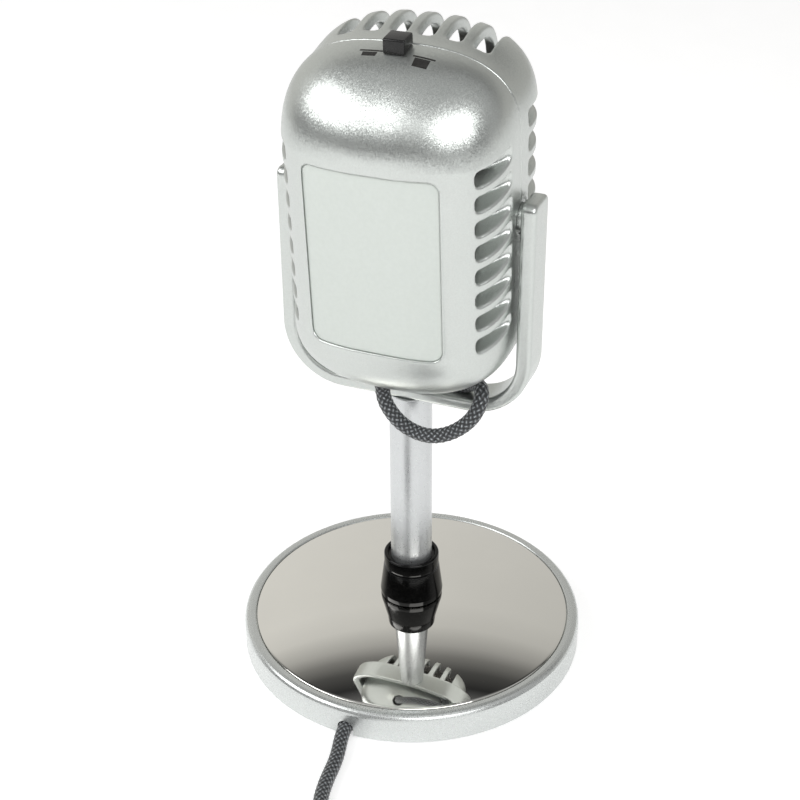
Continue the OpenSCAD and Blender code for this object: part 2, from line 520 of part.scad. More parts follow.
module cord_tie() {
    color([0.06, 0.06, 0.06]) translate([coil_x, coil_y, 0]) difference() {
        translate([coil_r - 10, -4, 0]) cube([20.4, 8, coil_h + 1.3]);
        translate([coil_r - 9.2, -6, 0.75]) cube([18.8, 12, coil_h - 0.2]);
    }
}
module plug_pose() { translate(plug_at) rotate([0, 0, plug_dir]) rotate([0, 90, 0]) children(); }
module plug_body() {
    color([0.05, 0.05, 0.05]) plug_pose() rotate_extrude($fn = 48)
        polygon([[0, 0], [2.5, 0], [2.7, 8], [3.6, 9.5], [3.9, 11], [3.9, 21], [3.5, 22.6], [3, 23], [0, 23]]);
}
module plug_pin() {
    color([0.8, 0.8, 0.78]) plug_pose() translate([0, 0, 23]) rotate_extrude($fn = 40)
        polygon([[0, 0], [2.6, 0], [2.6, 0.9], [1.75, 0.9], [1.75, 11.2], [1.35, 11.8], [1.7, 12.6], [1.2, 13.6], [0, 14.2]]);
}
module plug_rings() {
    color([0.03, 0.03, 0.03]) plug_pose() for (z = [28.6, 32]) translate([0, 0, z]) difference() {
        cylinder(r = 1.78, h = 0.6, $fn = 32);
        translate([0, 0, -1]) cylinder(r = 1.755, h = 3, $fn = 32);
    }
}

base_shell();
base_mirror_plate();
base_weight();
base_bottom_cover();
base_foot_pads();
base_cover_screws();
base_cord_clamp();
base_clamp_screws();
stem_collar();
stem_tube();
stem_flange();
stem_flange_screws();
yoke();
yoke_inner_cover();
yoke_spigot();
pivot_pins();
rear_shell();
front_grille_shell();
label_plate();
shell_screws();
pivot_bushes();
pivot_washers();
foam_rear();
foam_front();
mic_capsule();
capsule_boot();
capsule_bracket();
switch_knob();
switch_body();
switch_board();
switch_board_screws();
head_cord_grommet();
head_cord_knot();
head_wires();
cord_loop();
cord_in_stem();
cord_tail();
cord_coil();
cord_end();
cord_tie();
plug_body();
plug_pin();
plug_rings();
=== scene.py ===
import bpy, bmesh, json, math
import numpy as np
from mathutils import Matrix, Vector

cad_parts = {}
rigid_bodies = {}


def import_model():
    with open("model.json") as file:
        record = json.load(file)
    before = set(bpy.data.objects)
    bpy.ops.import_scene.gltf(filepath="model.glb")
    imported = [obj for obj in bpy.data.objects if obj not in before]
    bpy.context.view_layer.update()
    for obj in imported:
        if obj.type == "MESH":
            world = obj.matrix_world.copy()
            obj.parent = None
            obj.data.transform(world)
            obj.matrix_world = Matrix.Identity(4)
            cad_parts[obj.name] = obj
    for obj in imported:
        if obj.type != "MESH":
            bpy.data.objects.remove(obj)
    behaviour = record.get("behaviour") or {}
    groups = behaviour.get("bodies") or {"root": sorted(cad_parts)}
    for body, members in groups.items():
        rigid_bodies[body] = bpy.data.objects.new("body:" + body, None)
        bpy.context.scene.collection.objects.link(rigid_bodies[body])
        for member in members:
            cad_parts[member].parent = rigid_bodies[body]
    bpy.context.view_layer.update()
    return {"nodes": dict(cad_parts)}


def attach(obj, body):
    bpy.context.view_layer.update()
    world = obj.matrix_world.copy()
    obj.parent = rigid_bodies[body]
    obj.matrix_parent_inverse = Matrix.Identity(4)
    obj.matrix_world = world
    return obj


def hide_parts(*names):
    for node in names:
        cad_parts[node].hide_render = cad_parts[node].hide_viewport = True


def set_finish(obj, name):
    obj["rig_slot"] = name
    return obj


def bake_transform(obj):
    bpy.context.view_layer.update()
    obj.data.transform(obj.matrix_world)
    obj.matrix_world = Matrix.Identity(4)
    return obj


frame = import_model()
MM = 0.001
TILT = math.radians(4.0)
PIVOT = 142.0


# ------------------------------------------------------------------ materials
def new_mat(name):
    m = bpy.data.materials.new(name)
    m.use_nodes = True
    nt = m.node_tree
    b = next(n for n in nt.nodes if n.type == "BSDF_PRINCIPLED")
    return m, nt, b


def sock(node, name, value):
    if name in node.inputs:
        node.inputs[name].default_value = value


def N(nt, kind, **kw):
    n = nt.nodes.new(kind)
    for k, v in kw.items():
        setattr(n, k, v)
    return n


def coords(nt):
    return N(nt, "ShaderNodeTexCoord").outputs["Object"]


def noise(nt, vec, scale, detail=2.0, rough=0.5):
    n = N(nt, "ShaderNodeTexNoise")
    n.inputs["Scale"].default_value = scale
    n.inputs["Detail"].default_value = detail
    n.inputs["Roughness"].default_value = rough
    nt.links.new(vec, n.inputs["Vector"])
    return n.outputs["Fac"]


def voro(nt, vec, scale, feature="F1", out="Color"):
    n = N(nt, "ShaderNodeTexVoronoi")
    n.feature = feature
    n.inputs["Scale"].default_value = scale
    nt.links.new(vec, n.inputs["Vector"])
    return n.outputs[out]


def ramp(nt, fac, stops):
    r = N(nt, "ShaderNodeValToRGB")
    el = r.color_ramp.elements
    while len(el) < len(stops):
        el.new(0.5)
    for e, (p, c) in zip(el, stops):
        e.position = p
        e.color = c if len(c) == 4 else (*c, 1)
    nt.links.new(fac, r.inputs["Fac"])
    return r.outputs["Color"]


def maprange(nt, fac, a, b, c, d):
    n = N(nt, "ShaderNodeMapRange")
    for k, v in zip(("From Min", "From Max", "To Min", "To Max"), (a, b, c, d)):
        n.inputs[k].default_value = v
    nt.links.new(fac, n.inputs["Value"])
    return n.outputs["Result"]


def bump(nt, height, strength, distance, normal=None):
    n = N(nt, "ShaderNodeBump")
    n.inputs["Strength"].default_value = strength
    n.inputs["Distance"].default_value = distance
    nt.links.new(height, n.inputs["Height"])
    if normal is not None:
        nt.links.new(normal, n.inputs["Normal"])
    return n.outputs["Normal"]


def mat_silver(name, base, metallic, rough, spark=0.16, var=0.10, coat=0.0):
    """Satin silver paint: small metal flakes, each turned its own way, in a clear binder."""
    m, nt, b = new_mat(name)
    c = coords(nt)
    fl = voro(nt, c, 4300.0)
    sep = N(nt, "ShaderNodeSeparateColor")
    nt.links.new(fl, sep.inputs["Color"])
    fine = noise(nt, c, 2300.0, 3.0, 0.6)
    cloud = noise(nt, c, 45.0, 2.0)
    mixed = N(nt, "ShaderNodeMath", operation="MULTIPLY_ADD")
    nt.links.new(cloud, mixed.inputs[0])
    mixed.inputs[1].default_value = 0.25
    nt.links.new(fine, mixed.inputs[2])
    lo = tuple(x * (1 - var) for x in base)
    hi = tuple(min(1, x * (1 + var)) for x in base)
    nt.links.new(ramp(nt, mixed.outputs[0], [(0.42, lo), (0.82, hi)]), b.inputs["Base Color"])
    nt.links.new(maprange(nt, sep.outputs[1], 0, 1, rough - 0.05, rough + 0.05), b.inputs["Roughness"])
    b.inputs["Metallic"].default_value = metallic
    if coat:
        sock(b, "Coat Weight", coat)
        sock(b, "Coat Roughness", 0.2)
    # each flake's own tilt
    sub = N(nt, "ShaderNodeVectorMath", operation="SUBTRACT")
    nt.links.new(fl, sub.inputs[0])
    sub.inputs[1].default_value = (0.5, 0.5, 0.5)
    sc = N(nt, "ShaderNodeVectorMath", operation="SCALE")
    nt.links.new(sub.outputs[0], sc.inputs[0])
    sc.inputs["Scale"].default_value = spark
    geo = N(nt, "ShaderNodeNewGeometry")
    add = N(nt, "ShaderNodeVectorMath", operation="ADD")
    nt.links.new(sc.outputs[0], add.inputs[0])
    nt.links.new(geo.outputs["Normal"], add.inputs[1])
    nrm = N(nt, "ShaderNodeVectorMath", operation="NORMALIZE")
    nt.links.new(add.outputs[0], nrm.inputs[0])
    nt.links.new(bump(nt, fine, 0.05, 0.00003, nrm.outputs[0]), b.inputs["Normal"])
    return m


def mat_chrome(name, base, rough, smear=0.02):
    m, nt, b = new_mat(name)
    c = coords(nt)
    nz = noise(nt, c, 38.0, 3.0, 0.55)
    nt.links.new(maprange(nt, nz, 0.3, 0.7, rough, rough + smear), b.inputs["Roughness"])
    col = ramp(nt, nz, [(0.3, tuple(x * 0.97 for x in base)), (0.75, base)])
    nt.links.new(col, b.inputs["Base Color"])
    b.inputs["Metallic"].default_value = 1.0
    # the faintest ripple of polished sheet
    nt.links.new(bump(nt, noise(nt, c, 95.0, 1.0), 0.05, 0.00006), b.inputs["Normal"])
    return m


def mat_gloss_black(name, base=(0.006, 0.006, 0.006), rough=0.13, dust=0.5, spec=0.5):
    m, nt, b = new_mat(name)
    c = coords(nt)
    nz = noise(nt, c, 900.0, 4.0, 0.65)
    lo = base
    hi = tuple(x * 1.9 + 0.004 for x in base)
    nt.links.new(ramp(nt, nz, [(0.45, lo), (0.85, hi)]), b.inputs["Base Color"])
    nt.links.new(maprange(nt, noise(nt, c, 260.0, 3.0), 0.25, 0.75, rough, rough + 0.10 * dust), b.inputs["Roughness"])
    sock(b, "IOR", 1.42)
    sock(b, "Specular IOR Level", spec)
    nt.links.new(bump(nt, nz, 0.10 * dust, 0.00005), b.inputs["Normal"])
    return m


def mat_plain(name, base, rough, metallic=0.0, scale=700.0, amount=0.15, bumpy=0.2, sheen=0.0):
    m, nt, b = new_mat(name)
    c = coords(nt)
    nz = noise(nt, c, scale, 4.0, 0.6)
    lo = tuple(x * (1 - amount) for x in base)
    hi = tuple(min(1, x * (1 + amount)) for x in base)
    nt.links.new(ramp(nt, nz, [(0.35, lo), (0.65, hi)]), b.inputs["Base Color"])
    nt.links.new(maprange(nt, nz, 0.3, 0.7, max(0.02, rough - 0.06), rough + 0.06), b.inputs["Roughness"])
    b.inputs["Metallic"].default_value = metallic
    if sheen:
        sock(b, "Sheen Weight", sheen)
    nt.links.new(bump(nt, nz, bumpy, 0.0001), b.inputs["Normal"])
    return m


def mat_foam(name):
    m, nt, b = new_mat(name)
    c = coords(nt)
    v = voro(nt, c, 1300.0, "F1", "Distance")
    spark = voro(nt, c, 1900.0)
    sep = N(nt, "ShaderNodeSeparateColor")
    nt.links.new(spark, sep.inputs["Color"])
    base = ramp(nt, v, [(0.12, (0.012, 0.010, 0.009)), (0.55, (0.05, 0.045, 0.040))])
    glint = ramp(nt, sep.outputs[0], [(0.80, (0, 0, 0)), (0.95, (0.30, 0.28, 0.26))])
    add = N(nt, "ShaderNodeMix", data_type="RGBA", blend_type="ADD")
    add.inputs["Factor"].default_value = 1.0
    nt.links.new(base, add.inputs["A"])
    nt.links.new(glint, add.inputs["B"])
    nt.links.new(add.outputs["Result"], b.inputs["Base Color"])
    b.inputs["Roughness"].default_value = 0.9
    sock(b, "Sheen Weight", 0.25)
    nt.links.new(bump(nt, v, 0.9, 0.0004), b.inputs["Normal"])
    return m


def mat_braid(name):
    """Braided sleeve. UV: u round the cord, v along it, one unit per strand crossing."""
    m, nt, b = new_mat(name)
    uv = N(nt, "ShaderNodeUVMap", uv_map="UVMap").outputs["UV"]
    sp = N(nt, "ShaderNodeSeparateXYZ")
    nt.links.new(uv, sp.inputs[0])

    def M(op, a, bb=None, c=None):
        n = N(nt, "ShaderNodeMath", operation=op)
        for i, v in enumerate((a, bb, c)):
            if v is None:
                continue
            if isinstance(v, (int, float)):
                n.inputs[i].default_value = v
            else:
                nt.links.new(v, n.inputs[i])
        return n.outputs[0]

    p = M("ADD", sp.outputs[0], sp.outputs[1])
    q = M("SUBTRACT", sp.outputs[0], sp.outputs[1])
    fp, fq = M("FRACT", p), M("FRACT", q)
    par = M("MODULO", M("ADD", M("ADD", M("FLOOR", p), M("FLOOR", q)), 4000.0), 2.0)
    sgn = M("MULTIPLY_ADD", par, -2.0, 1.0)
    # strand profiles
    pa = M("SINE", M("MULTIPLY", fp, math.pi))
    pb = M("SINE", M("MULTIPLY", fq, math.pi))
    ha = M("MULTIPLY", pa, M("MULTIPLY_ADD", M("MULTIPLY", sgn, pb), 0.3, 0.7))
    hb = M("MULTIPLY", pb, M("MULTIPLY_ADD", M("MULTIPLY", sgn, pa), -0.3, 0.7))
    h = M("MAXIMUM", ha, hb)
    top = M("GREATER_THAN", ha, hb)
    # fine filaments run along each strand
    fa = M("SINE", M("MULTIPLY", fp, 26.0))
    fb = M("SINE", M("MULTIPLY", fq, 26.0))
    fil = M("ADD", M("MULTIPLY", fa, top), M("MULTIPLY", fb, M("SUBTRACT", 1.0, top)))
    # the strands' crowns paler and the grooves between them dark, by strand height: painted highlight on the crowns,
    # painted shade in the grooves; the noise below adds paler filaments at random
    crown_highlight_groove_shade = ramp(nt, h, [(0.42, (0.004, 0.005, 0.006)), (0.72, (0.030, 0.034, 0.038)), (0.90, (0.13, 0.14, 0.15)), (1.0, (0.34, 0.36, 0.37))])
    fib = noise(nt, coords(nt), 2600.0, 3.0, 0.65)
    br = ramp(nt, fib, [(0.32, (0.55, 0.55, 0.55)), (0.55, (1.0, 1.0, 1.0)), (0.70, (2.1, 2.15, 2.15))])
    mul = N(nt, "ShaderNodeMix", data_type="RGBA", blend_type="MULTIPLY")
    mul.inputs["Factor"].default_value = 1.0
    nt.links.new(crown_highlight_groove_shade, mul.inputs["A"])
    nt.links.new(br, mul.inputs["B"])
    nt.links.new(mul.outputs["Result"], b.inputs["Base Color"])
    b.inputs["Roughness"].default_value = 0.42
    sock(b, "Sheen Weight", 0.3)
    hh = M("MULTIPLY_ADD", fil, 0.10, h)
    nt.links.new(bump(nt, hh, 0.6, 0.00016), b.inputs["Normal"])
    return m


def mat_label(name):
    m, nt, b = new_mat(name)
    c = coords(nt)
    nz = noise(nt, c, 900.0, 3.0, 0.55)
    nt.links.new(ramp(nt, nz, [(0.3, (0.562, 0.600, 0.566)), (0.7, (0.584, 0.622, 0.588))]), b.inputs["Base Color"])
    nt.links.new(maprange(nt, noise(nt, c, 120.0, 2.0), 0.3, 0.7, 0.30, 0.40), b.inputs["Roughness"])
    nt.links.new(bump(nt, nz, 0.06, 0.00005), b.inputs["Normal"])
    return m


SILVER = mat_silver("silver_shell", (0.560, 0.585, 0.565), 0.90, 0.325, 0.11, 0.035)
SILVER_RING = mat_silver("silver_ring", (0.60, 0.62, 0.61), 0.80, 0.30, 0.016, 0.012)
STEM = mat_silver("silver_stem", (0.60, 0.615, 0.62), 0.85, 0.32, 0.010, 0.010)
CHROME = mat_chrome("mirror_chrome", (0.86, 0.85, 0.81), 0.015, 0.02)
GLOSS = mat_gloss_black("gloss_black", (0.0012, 0.0012, 0.0012), 0.09, 0.15, 0.33)
KNOB = mat_gloss_black("knob_black", (0.007, 0.007, 0.007), 0.2, 0.8)
MATTE = mat_plain("black_moulded", (0.028, 0.028, 0.028), 0.5, 0, 1200.0, 0.2, 0.3)
RUBBER = mat_plain("black_rubber", (0.02, 0.02, 0.02), 0.75, 0, 1500.0, 0.25, 0.4)
STEEL = mat_plain("zinc_steel", (0.55, 0.55, 0.56), 0.32, 1.0, 400.0, 0.12, 0.15)
IRON = mat_plain("cast_weight", (0.18, 0.18, 0.19), 0.65, 0.8, 500.0, 0.3, 0.6)
FOAM = mat_foam("open_foam")
CAPS = mat_plain("capsule_alu", (0.7, 0.7, 0.71), 0.28, 1.0, 600.0, 0.08, 0.1)
GREEN = mat_plain("solder_mask", (0.02, 0.13, 0.05), 0.35, 0, 300.0, 0.15, 0.1)
NYLON = mat_plain("nylon_natural", (0.66, 0.66, 0.62), 0.45, 0, 500.0, 0.08, 0.1)
WIRE = mat_plain("wire_skin", (0.38, 0.03, 0.025), 0.35, 0, 500.0, 0.1, 0.1)
BRAID = mat_braid("braided_sleeve")
STRAP = mat_plain("hook_strap", (0.018, 0.018, 0.018), 0.9, 0, 2600.0, 0.5, 1.0, 0.4)
NICKEL = mat_chrome("nickel_plate", (0.74, 0.72, 0.68), 0.10, 0.05)
LABEL = mat_label("label_satin")
PRINT = mat_plain("print_ink", (0.018, 0.017, 0.016), 0.42, 0, 1500.0, 0.3, 0.1)


# ------------------------------------------------------------------ mesh helpers
def head_world(P):
    """head frame (mm, origin on the tilt axis) to the row frame (mm)"""
    P = np.asarray(P, float)
    c, s = math.cos(-TILT), math.sin(-TILT)
    out = np.empty_like(P)
    out[..., 0] = P[..., 0]
    out[..., 1] = P[..., 1] * c - P[..., 2] * s
    out[..., 2] = P[..., 1] * s + P[..., 2] * c + PIVOT
    return out


def make(name, V, F, mat, body, slot, replaces=(), smooth=True, uv=None, sharp=None):
    """V in mm in the row frame, F a list or array of faces"""
    me = bpy.data.meshes.new(name)
    V = np.asarray(V, np.float32) * MM
    if isinstance(F, np.ndarray):
        nf, k = F.shape
        me.vertices.add(len(V))
        me.vertices.foreach_set("co", V.ravel())
        me.loops.add(nf * k)
        me.loops.foreach_set("vertex_index", F.astype(np.int32).ravel())
        me.polygons.add(nf)
        me.polygons.foreach_set("loop_start", (np.arange(nf) * k).astype(np.int32))
        me.update(calc_edges=True)
        me.validate()
    else:
        me.from_pydata([tuple(v) for v in V.tolist()], [], [tuple(f) for f in F])
        me.update()
        me.validate()
    if uv is not None:
        lay = me.uv_layers.new(name="UVMap")
        lay.data.foreach_set("uv", np.asarray(uv, np.float32).ravel())
    me.materials.append(mat)
    if smooth:
        me.polygons.foreach_set("use_smooth", np.ones(len(me.polygons), bool))
        if sharp is not None:
            me.set_sharp_from_angle(angle=math.radians(sharp))
    ob = bpy.data.objects.new(name, me)
    bpy.context.scene.collection.objects.link(ob)
    if body:
        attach(ob, body)
        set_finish(ob, slot)
        if replaces:
            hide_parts(*replaces)
    return ob


def join_faces(parts):
    """[(V,F list)] -> one V, F"""
    Vs, Fs, o = [], [], 0
    for V, F in parts:
        V = np.asarray(V, float)
        Vs.append(V)
        Fs += [tuple(int(i) + o for i in f) for f in F]
        o += len(V)
    return np.vstack(Vs), Fs


def lathe(profile, segs, closed=True):
    """profile [(r,z)] round +Z, closed loop of profile; r=0 points become poles"""
    pr = np.asarray(profile, float)
    n = len(pr)
    a = np.arange(segs) * 2 * math.pi / segs
    V, idx = [], []
    for r, z in pr:
        if r < 1e-9:
            idx.append([len(V)] * segs)
            V.append((0, 0, z))
        else:
            s = len(V)
            idx.append(list(range(s, s + segs)))
            V += [(r * math.cos(t), r * math.sin(t), z) for t in a]
    F = []
    m = n if closed else n - 1
    for i in range(m):
        A, B = idx[i], idx[(i + 1) % n]
        for j in range(segs):
            k = (j + 1) % segs
            f = [A[j], A[k], B[k], B[j]]
            g = []
            for q in f:
                if q not in g:
                    g.append(q)
            if len(g) > 2:
                F.append(g)
    return np.array(V), F


def fillet(points, radii, n=6):
    """round the corners of a closed 2-D polygon"""
    P = [np.array(p, float) for p in points]
    out = []
    for i, p in enumerate(P):
        r = radii[i] if hasattr(radii, "__len__") else radii
        a, b = P[i - 1], P[(i + 1) % len(P)]
        if r <= 0:
            out.append(tuple(p))
            continue
        u, v = (a - p), (b - p)
        lu, lv = np.linalg.norm(u), np.linalg.norm(v)
        u, v = u / lu, v / lv
        ang = math.acos(max(-1, min(1, float(u @ v))))
        if ang > math.pi - 0.02:
            out.append(tuple(p))
            continue
        t = min(r / math.tan(ang / 2), lu * 0.48, lv * 0.48)
        rr = t * math.tan(ang / 2)
        p0, p1 = p + u * t, p + v * t
        bis = (u + v) / np.linalg.norm(u + v)
        c = p + bis * rr / math.sin(ang / 2)
        a0 = math.atan2(*(p0 - c)[::-1])
        a1 = math.atan2(*(p1 - c)[::-1])
        d = (a1 - a0 + math.pi) % (2 * math.pi) - math.pi
        for k in range(n + 1):
            q = a0 + d * k / n
            out.append((c[0] + rr * math.cos(q), c[1] + rr * math.sin(q)))
    return out


def surface_nets(f, x0, y0, z0, h):
    """smooth mesh of f = 0 (negative inside), f on a regular grid; returns V, quads"""
    s = f < 0
    nx, ny, nz = f.shape
    c000, c100 = s[:-1, :-1, :-1], s[1:, :-1, :-1]
    cnt = np.zeros((nx - 1, ny - 1, nz - 1), np.int8)
    for dx in (0, 1):
        for dy in (0, 1):
            for dz in (0, 1):
                cnt += s[dx:nx - 1 + dx, dy:ny - 1 + dy, dz:nz - 1 + dz]
    act = (cnt > 0) & (cnt < 8)
    ids = np.full(act.shape, -1, np.int64)
    I = np.argwhere(act)
    ids[act] = np.arange(len(I))
    acc = np.zeros((len(I), 3))
    num = np.zeros(len(I))
    corners = [(a, b, c) for a in (0, 1) for b in (0, 1) for c in (0, 1)]
    vals = {c: f[I[:, 0] + c[0], I[:, 1] + c[1], I[:, 2] + c[2]] for c in corners}
    for a in corners:
        for ax in range(3):
            if a[ax]:
                continue
            b = list(a)
            b[ax] = 1
            b = tuple(b)
            va, vb = vals[a], vals[b]
            cross = (va < 0) != (vb < 0)
            t = np.where(cross, va / np.where(cross, va - vb, 1), 0)
            p = np.zeros((len(I), 3))
            p[:, 0], p[:, 1], p[:, 2] = a
            p[:, ax] += t
            acc += np.where(cross[:, None], p, 0)
            num += cross
    V = I + acc / num[:, None]
    V = V * h + np.array([x0, y0, z0])
    quads = []
    for ax in range(3):
        sl0 = [slice(None)] * 3
        sl1 = [slice(None)] * 3
        sl0[ax], sl1[ax] = slice(0, -1), slice(1, None)
        A, B = s[tuple(sl0)], s[tuple(sl1)]
        o1, o2 = [(1, 2), (2, 0), (0, 1)][ax]
        E = np.argwhere(A != B)
        E = E[(E[:, o1] > 0) & (E[:, o2] > 0)]
        lim = np.array(act.shape)
        E = E[(E[:, o1] < lim[o1]) & (E[:, o2] < lim[o2]) & (E[:, ax] < lim[ax])]
        inside = A[E[:, 0], E[:, 1], E[:, 2]]
        def cell(d1, d2):
            q = E.copy()
            q[:, o1] -= d1
            q[:, o2] -= d2
            return ids[q[:, 0], q[:, 1], q[:, 2]]
        q = np.stack([cell(1, 1), cell(0, 1), cell(0, 0), cell(1, 0)], 1)
        q[~inside] = q[~inside][:, ::-1]
        quads.append(q)
    Q = np.vstack(quads)
    return V, Q[(Q >= 0).all(1)]


def project(V, fun, h, steps=2):
    """pull the vertices onto fun = 0 along its gradient"""
    for _ in range(steps):
        e = h * 0.25
        g = np.stack([(fun(V + d) - fun(V - d)) / (2 * e) for d in np.eye(3) * e], 1)
        v = fun(V)
        n2 = np.maximum((g * g).sum(1), 0.05)
        step = -(v / n2)[:, None] * g
        ln = np.linalg.norm(step, axis=1, keepdims=True)
        step *= np.minimum(1, 0.45 * h / np.maximum(ln, 1e-9))
        V = V + step
    return V


def smax(a, b, k):
    d = np.clip(0.5 + 0.5 * (a - b) / k, 0, 1)
    return b + (a - b) * d + k * d * (1 - d)


def smin(a, b, k):
    return -smax(-a, -b, k)


# ------------------------------------------------------------------ head shells
HEAD_A, REAR_B, FRONT_B, SEAM = 30.4, 24.7, 26.8, 1.2
TOP_Z, TOP_Z0, LOW_Z0, LOW_Z = 42.9, 20.7, -31.1, -49.1
REAR = [HEAD_A, REAR_B, TOP_Z, TOP_Z0, LOW_Z0, LOW_Z, 2.75, 1.85, 2.56, 2.82, 1.8, 3.3]
FRONT = [HEAD_A + 0.06, FRONT_B, TOP_Z + 0.08, TOP_Z0, LOW_Z0, LOW_Z + 0.4, 2.7, 2.6, 2.56, 3.0, 3.6, 2.6]
RIB = [HEAD_A + 0.95, FRONT_B, TOP_Z + 2.0, TOP_Z0, LOW_Z0, LOW_Z + 0.2, 2.65, 2.6, 2.56, 3.0, 4.6, 2.6]


def gauge_s(P, X, Z):
    """ring value s and depth exponent for points of the seam plane"""
    a, b, zt, z0, z1, zb, nt, n0, nb, m, mt, mb = P
    dx = np.abs(X) / a
    top = Z > z0
    low = Z < z1
    dz = np.where(top, (Z - z0) / (zt - z0), np.where(low, (z1 - Z) / (z1 - zb), 0.0))
    dz = np.maximum(dz, 0)
    dxe = np.maximum(dx, 1e-6)
    s = np.maximum(dxe, dz)
    lx, lz = np.log(dxe), np.log(np.maximum(dz, 1e-6))
    for _ in range(5):
        n = np.where(top, n0 + (nt - n0) * np.minimum(s, 1.25), nb)
        s = np.where(top | low, np.power(np.exp(n * lx) + np.exp(n * lz), 1 / n), dxe)
    su = dz / np.maximum(np.hypot(dx, dz), 1e-9)
    mm = np.where(top, m + (mt - m) * su, m + (mb - m) * su)
    return s, mm


def gauge(P, X, Yd, Z):
    s, mm = gauge_s(P, X, Z)
    y = np.maximum(Yd, 0) / P[1]
    ls, ly = np.log(np.maximum(s, 1e-6)), np.log(np.maximum(y, 1e-6))
    return np.power(np.exp(mm * ls) + np.exp(mm * ly), 1 / mm)


def dist_to(P, X, Yd, Z, e=0.06):
    """signed distance, to first order"""
    g = gauge(P, X, Yd, Z)
    gx = (gauge(P, X + e, Yd, Z) - g) / e
    gy = np.where(Yd > 0, (gauge(P, X, Yd + e, Z) - g) / e, 0)
    gz = (gauge(P, X, Yd, Z + e) - g) / e
    return (g - 1) / np.maximum(np.sqrt(gx * gx + gy * gy + gz * gz), 0.008)


def surf_y(P, X, Z, dirn, seam):
    s, mm = gauge_s(P, X, Z)
    return seam + dirn * P[1] * np.power(np.maximum(0, 1 - np.power(np.minimum(s, 1), mm)), 1 / mm)


def round_box2(x, z, cx, cz, hx, hz, r):
    qx, qz = np.abs(x - cx) - hx + r, np.abs(z - cz) - hz + r
    return np.minimum(np.maximum(qx, qz), 0) + np.hypot(np.maximum(qx, 0), np.maximum(qz, 0)) - r


def rear_field(V):
    X, Y, Z = V[:, 0], V[:, 1], V[:, 2]
    d0 = dist_to(REAR, X, Y - SEAM, Z)
    # the wall is thicker behind the side slots, which run in as scoops
    thick = 3.0 + 2.7 * np.clip((np.abs(X) - 20.0) / 4.0, 0, 1) * np.clip((22.0 - Z) / 3.0, 0, 1) * np.clip((Z + 38.0) / 3.0, 0, 1)
    f = np.maximum(d0, -(d0 + thick))
    # screw bosses inside
    for bx in (-12, 12):
        for bz in (8, -25):
            cyl = np.hypot(X - bx, Z - bz)
            f = np.minimum(f, np.maximum(cyl - 3.3, d0 + 0.6))
            f = np.maximum(f, -np.maximum(cyl - 1.3, Y - SEAM - 4))
            f = np.maximum(f, -np.maximum(np.maximum(cyl - 2.5, SEAM + 4 - Y), d0 + 0.9))
    # label recess
    lab = round_box2(X, Z, 0.9, -6.95, 18.3, 25.35, 3.0)
    f = smax(f, -np.maximum(lab, -(d0 + 1.0)), 0.22)
    # side slots
    t = np.clip((21 - Y) / (21 - 7.4), 0, 1.2)
    rise = 3.4 * np.power(t, 1.5)
    floor_d = 1.2 + 0.62 * np.clip(Y - 7.4, 0, 20)
    for k in range(8):
        zl = 15.8 - 6.7 * k
        lo = zl + rise - Z
        hi = Z - (zl + rise + 4.3 - 0.6 * t ** 3)
        slot = smax(smax(lo - 0.20 * np.clip(d0, -8, 0), hi, 0.9), smax(Y - 19.2, 7.4 - Y, 0.5), 1.5)
        slot = smax(slot * 0.93, -(d0 + floor_d), 0.9)
        slot = smax(slot, 22.0 - np.abs(X), 0.5)
        f = smax(f, -slot, 0.55)
    # pivot seats, switch window, cord hole
    f = np.maximum(f, -np.maximum(np.hypot(Y, Z) - 4.55, 20 - np.abs(X)))
    f = np.maximum(f, -np.maximum(np.maximum(np.abs(X) - 2.3, np.abs(Y - 3.8) - 1.2), 30 - Z))
    f = smax(f, -np.maximum(np.hypot(X - 2.6, Y - 17.3) - 3.05, Z + 40), 0.3)
    return smax(f, SEAM - Y, 0.22)


def front_field(V):
    X, Y, Z = V[:, 0], V[:, 1], V[:, 2]
    yd = SEAM - 0.1 - Y
    d0 = dist_to(FRONT, X, yd, Z)
    dr = dist_to(RIB, X, yd, Z)
    w = np.clip((Y + 14.0) / 14.5, 0, 1)
    w = w * w * (3 - 2 * w)
    outer = d0 * w + dr * (1 - w)
    f = np.maximum(outer, -(outer + 2.9))
    for bx in (-12, 12):
        for bz in (8, -25):
            cyl = np.hypot(X - bx, Z - bz)
            f = np.minimum(f, np.maximum(cyl - 3.3, np.maximum(d0 + 1.2, -Y - 16)))
            f = np.maximum(f, -np.maximum(cyl - 1.1, -Y - 14))
    xs = np.abs(X)
    # long slots, mirrored about x = 0: centres 3.6, 10.8, 18
    sx = np.minimum(np.minimum(np.abs(xs - 3.6), np.abs(xs - 10.8)), np.abs(xs - 18.0)) - 2.15
    up = smax(smax(sx, Y + 4.2, 1.9), 5 - Z, 2.4)
    dn = smax(smax(sx, Y + 6.0, 2.4), Z + 3, 2.4)
    f = smax(f, -up, 0.7)
    f = smax(f, -dn, 0.7)
    for k in range(9):
        zc = 22.4 - 6.7 * k + 2.15
        sl = smax(smax(np.abs(Z - zc) - 2.15, np.abs(Y + 13.25) - 8.75, 1.6), 24.6 - xs, 0.8)
        f = smax(f, -sl, 0.6)
    f = np.maximum(f, -np.maximum(np.hypot(Y, Z) - 4.55, 20 - xs))
    return smax(f, Y - (SEAM - 0.1), 0.26)


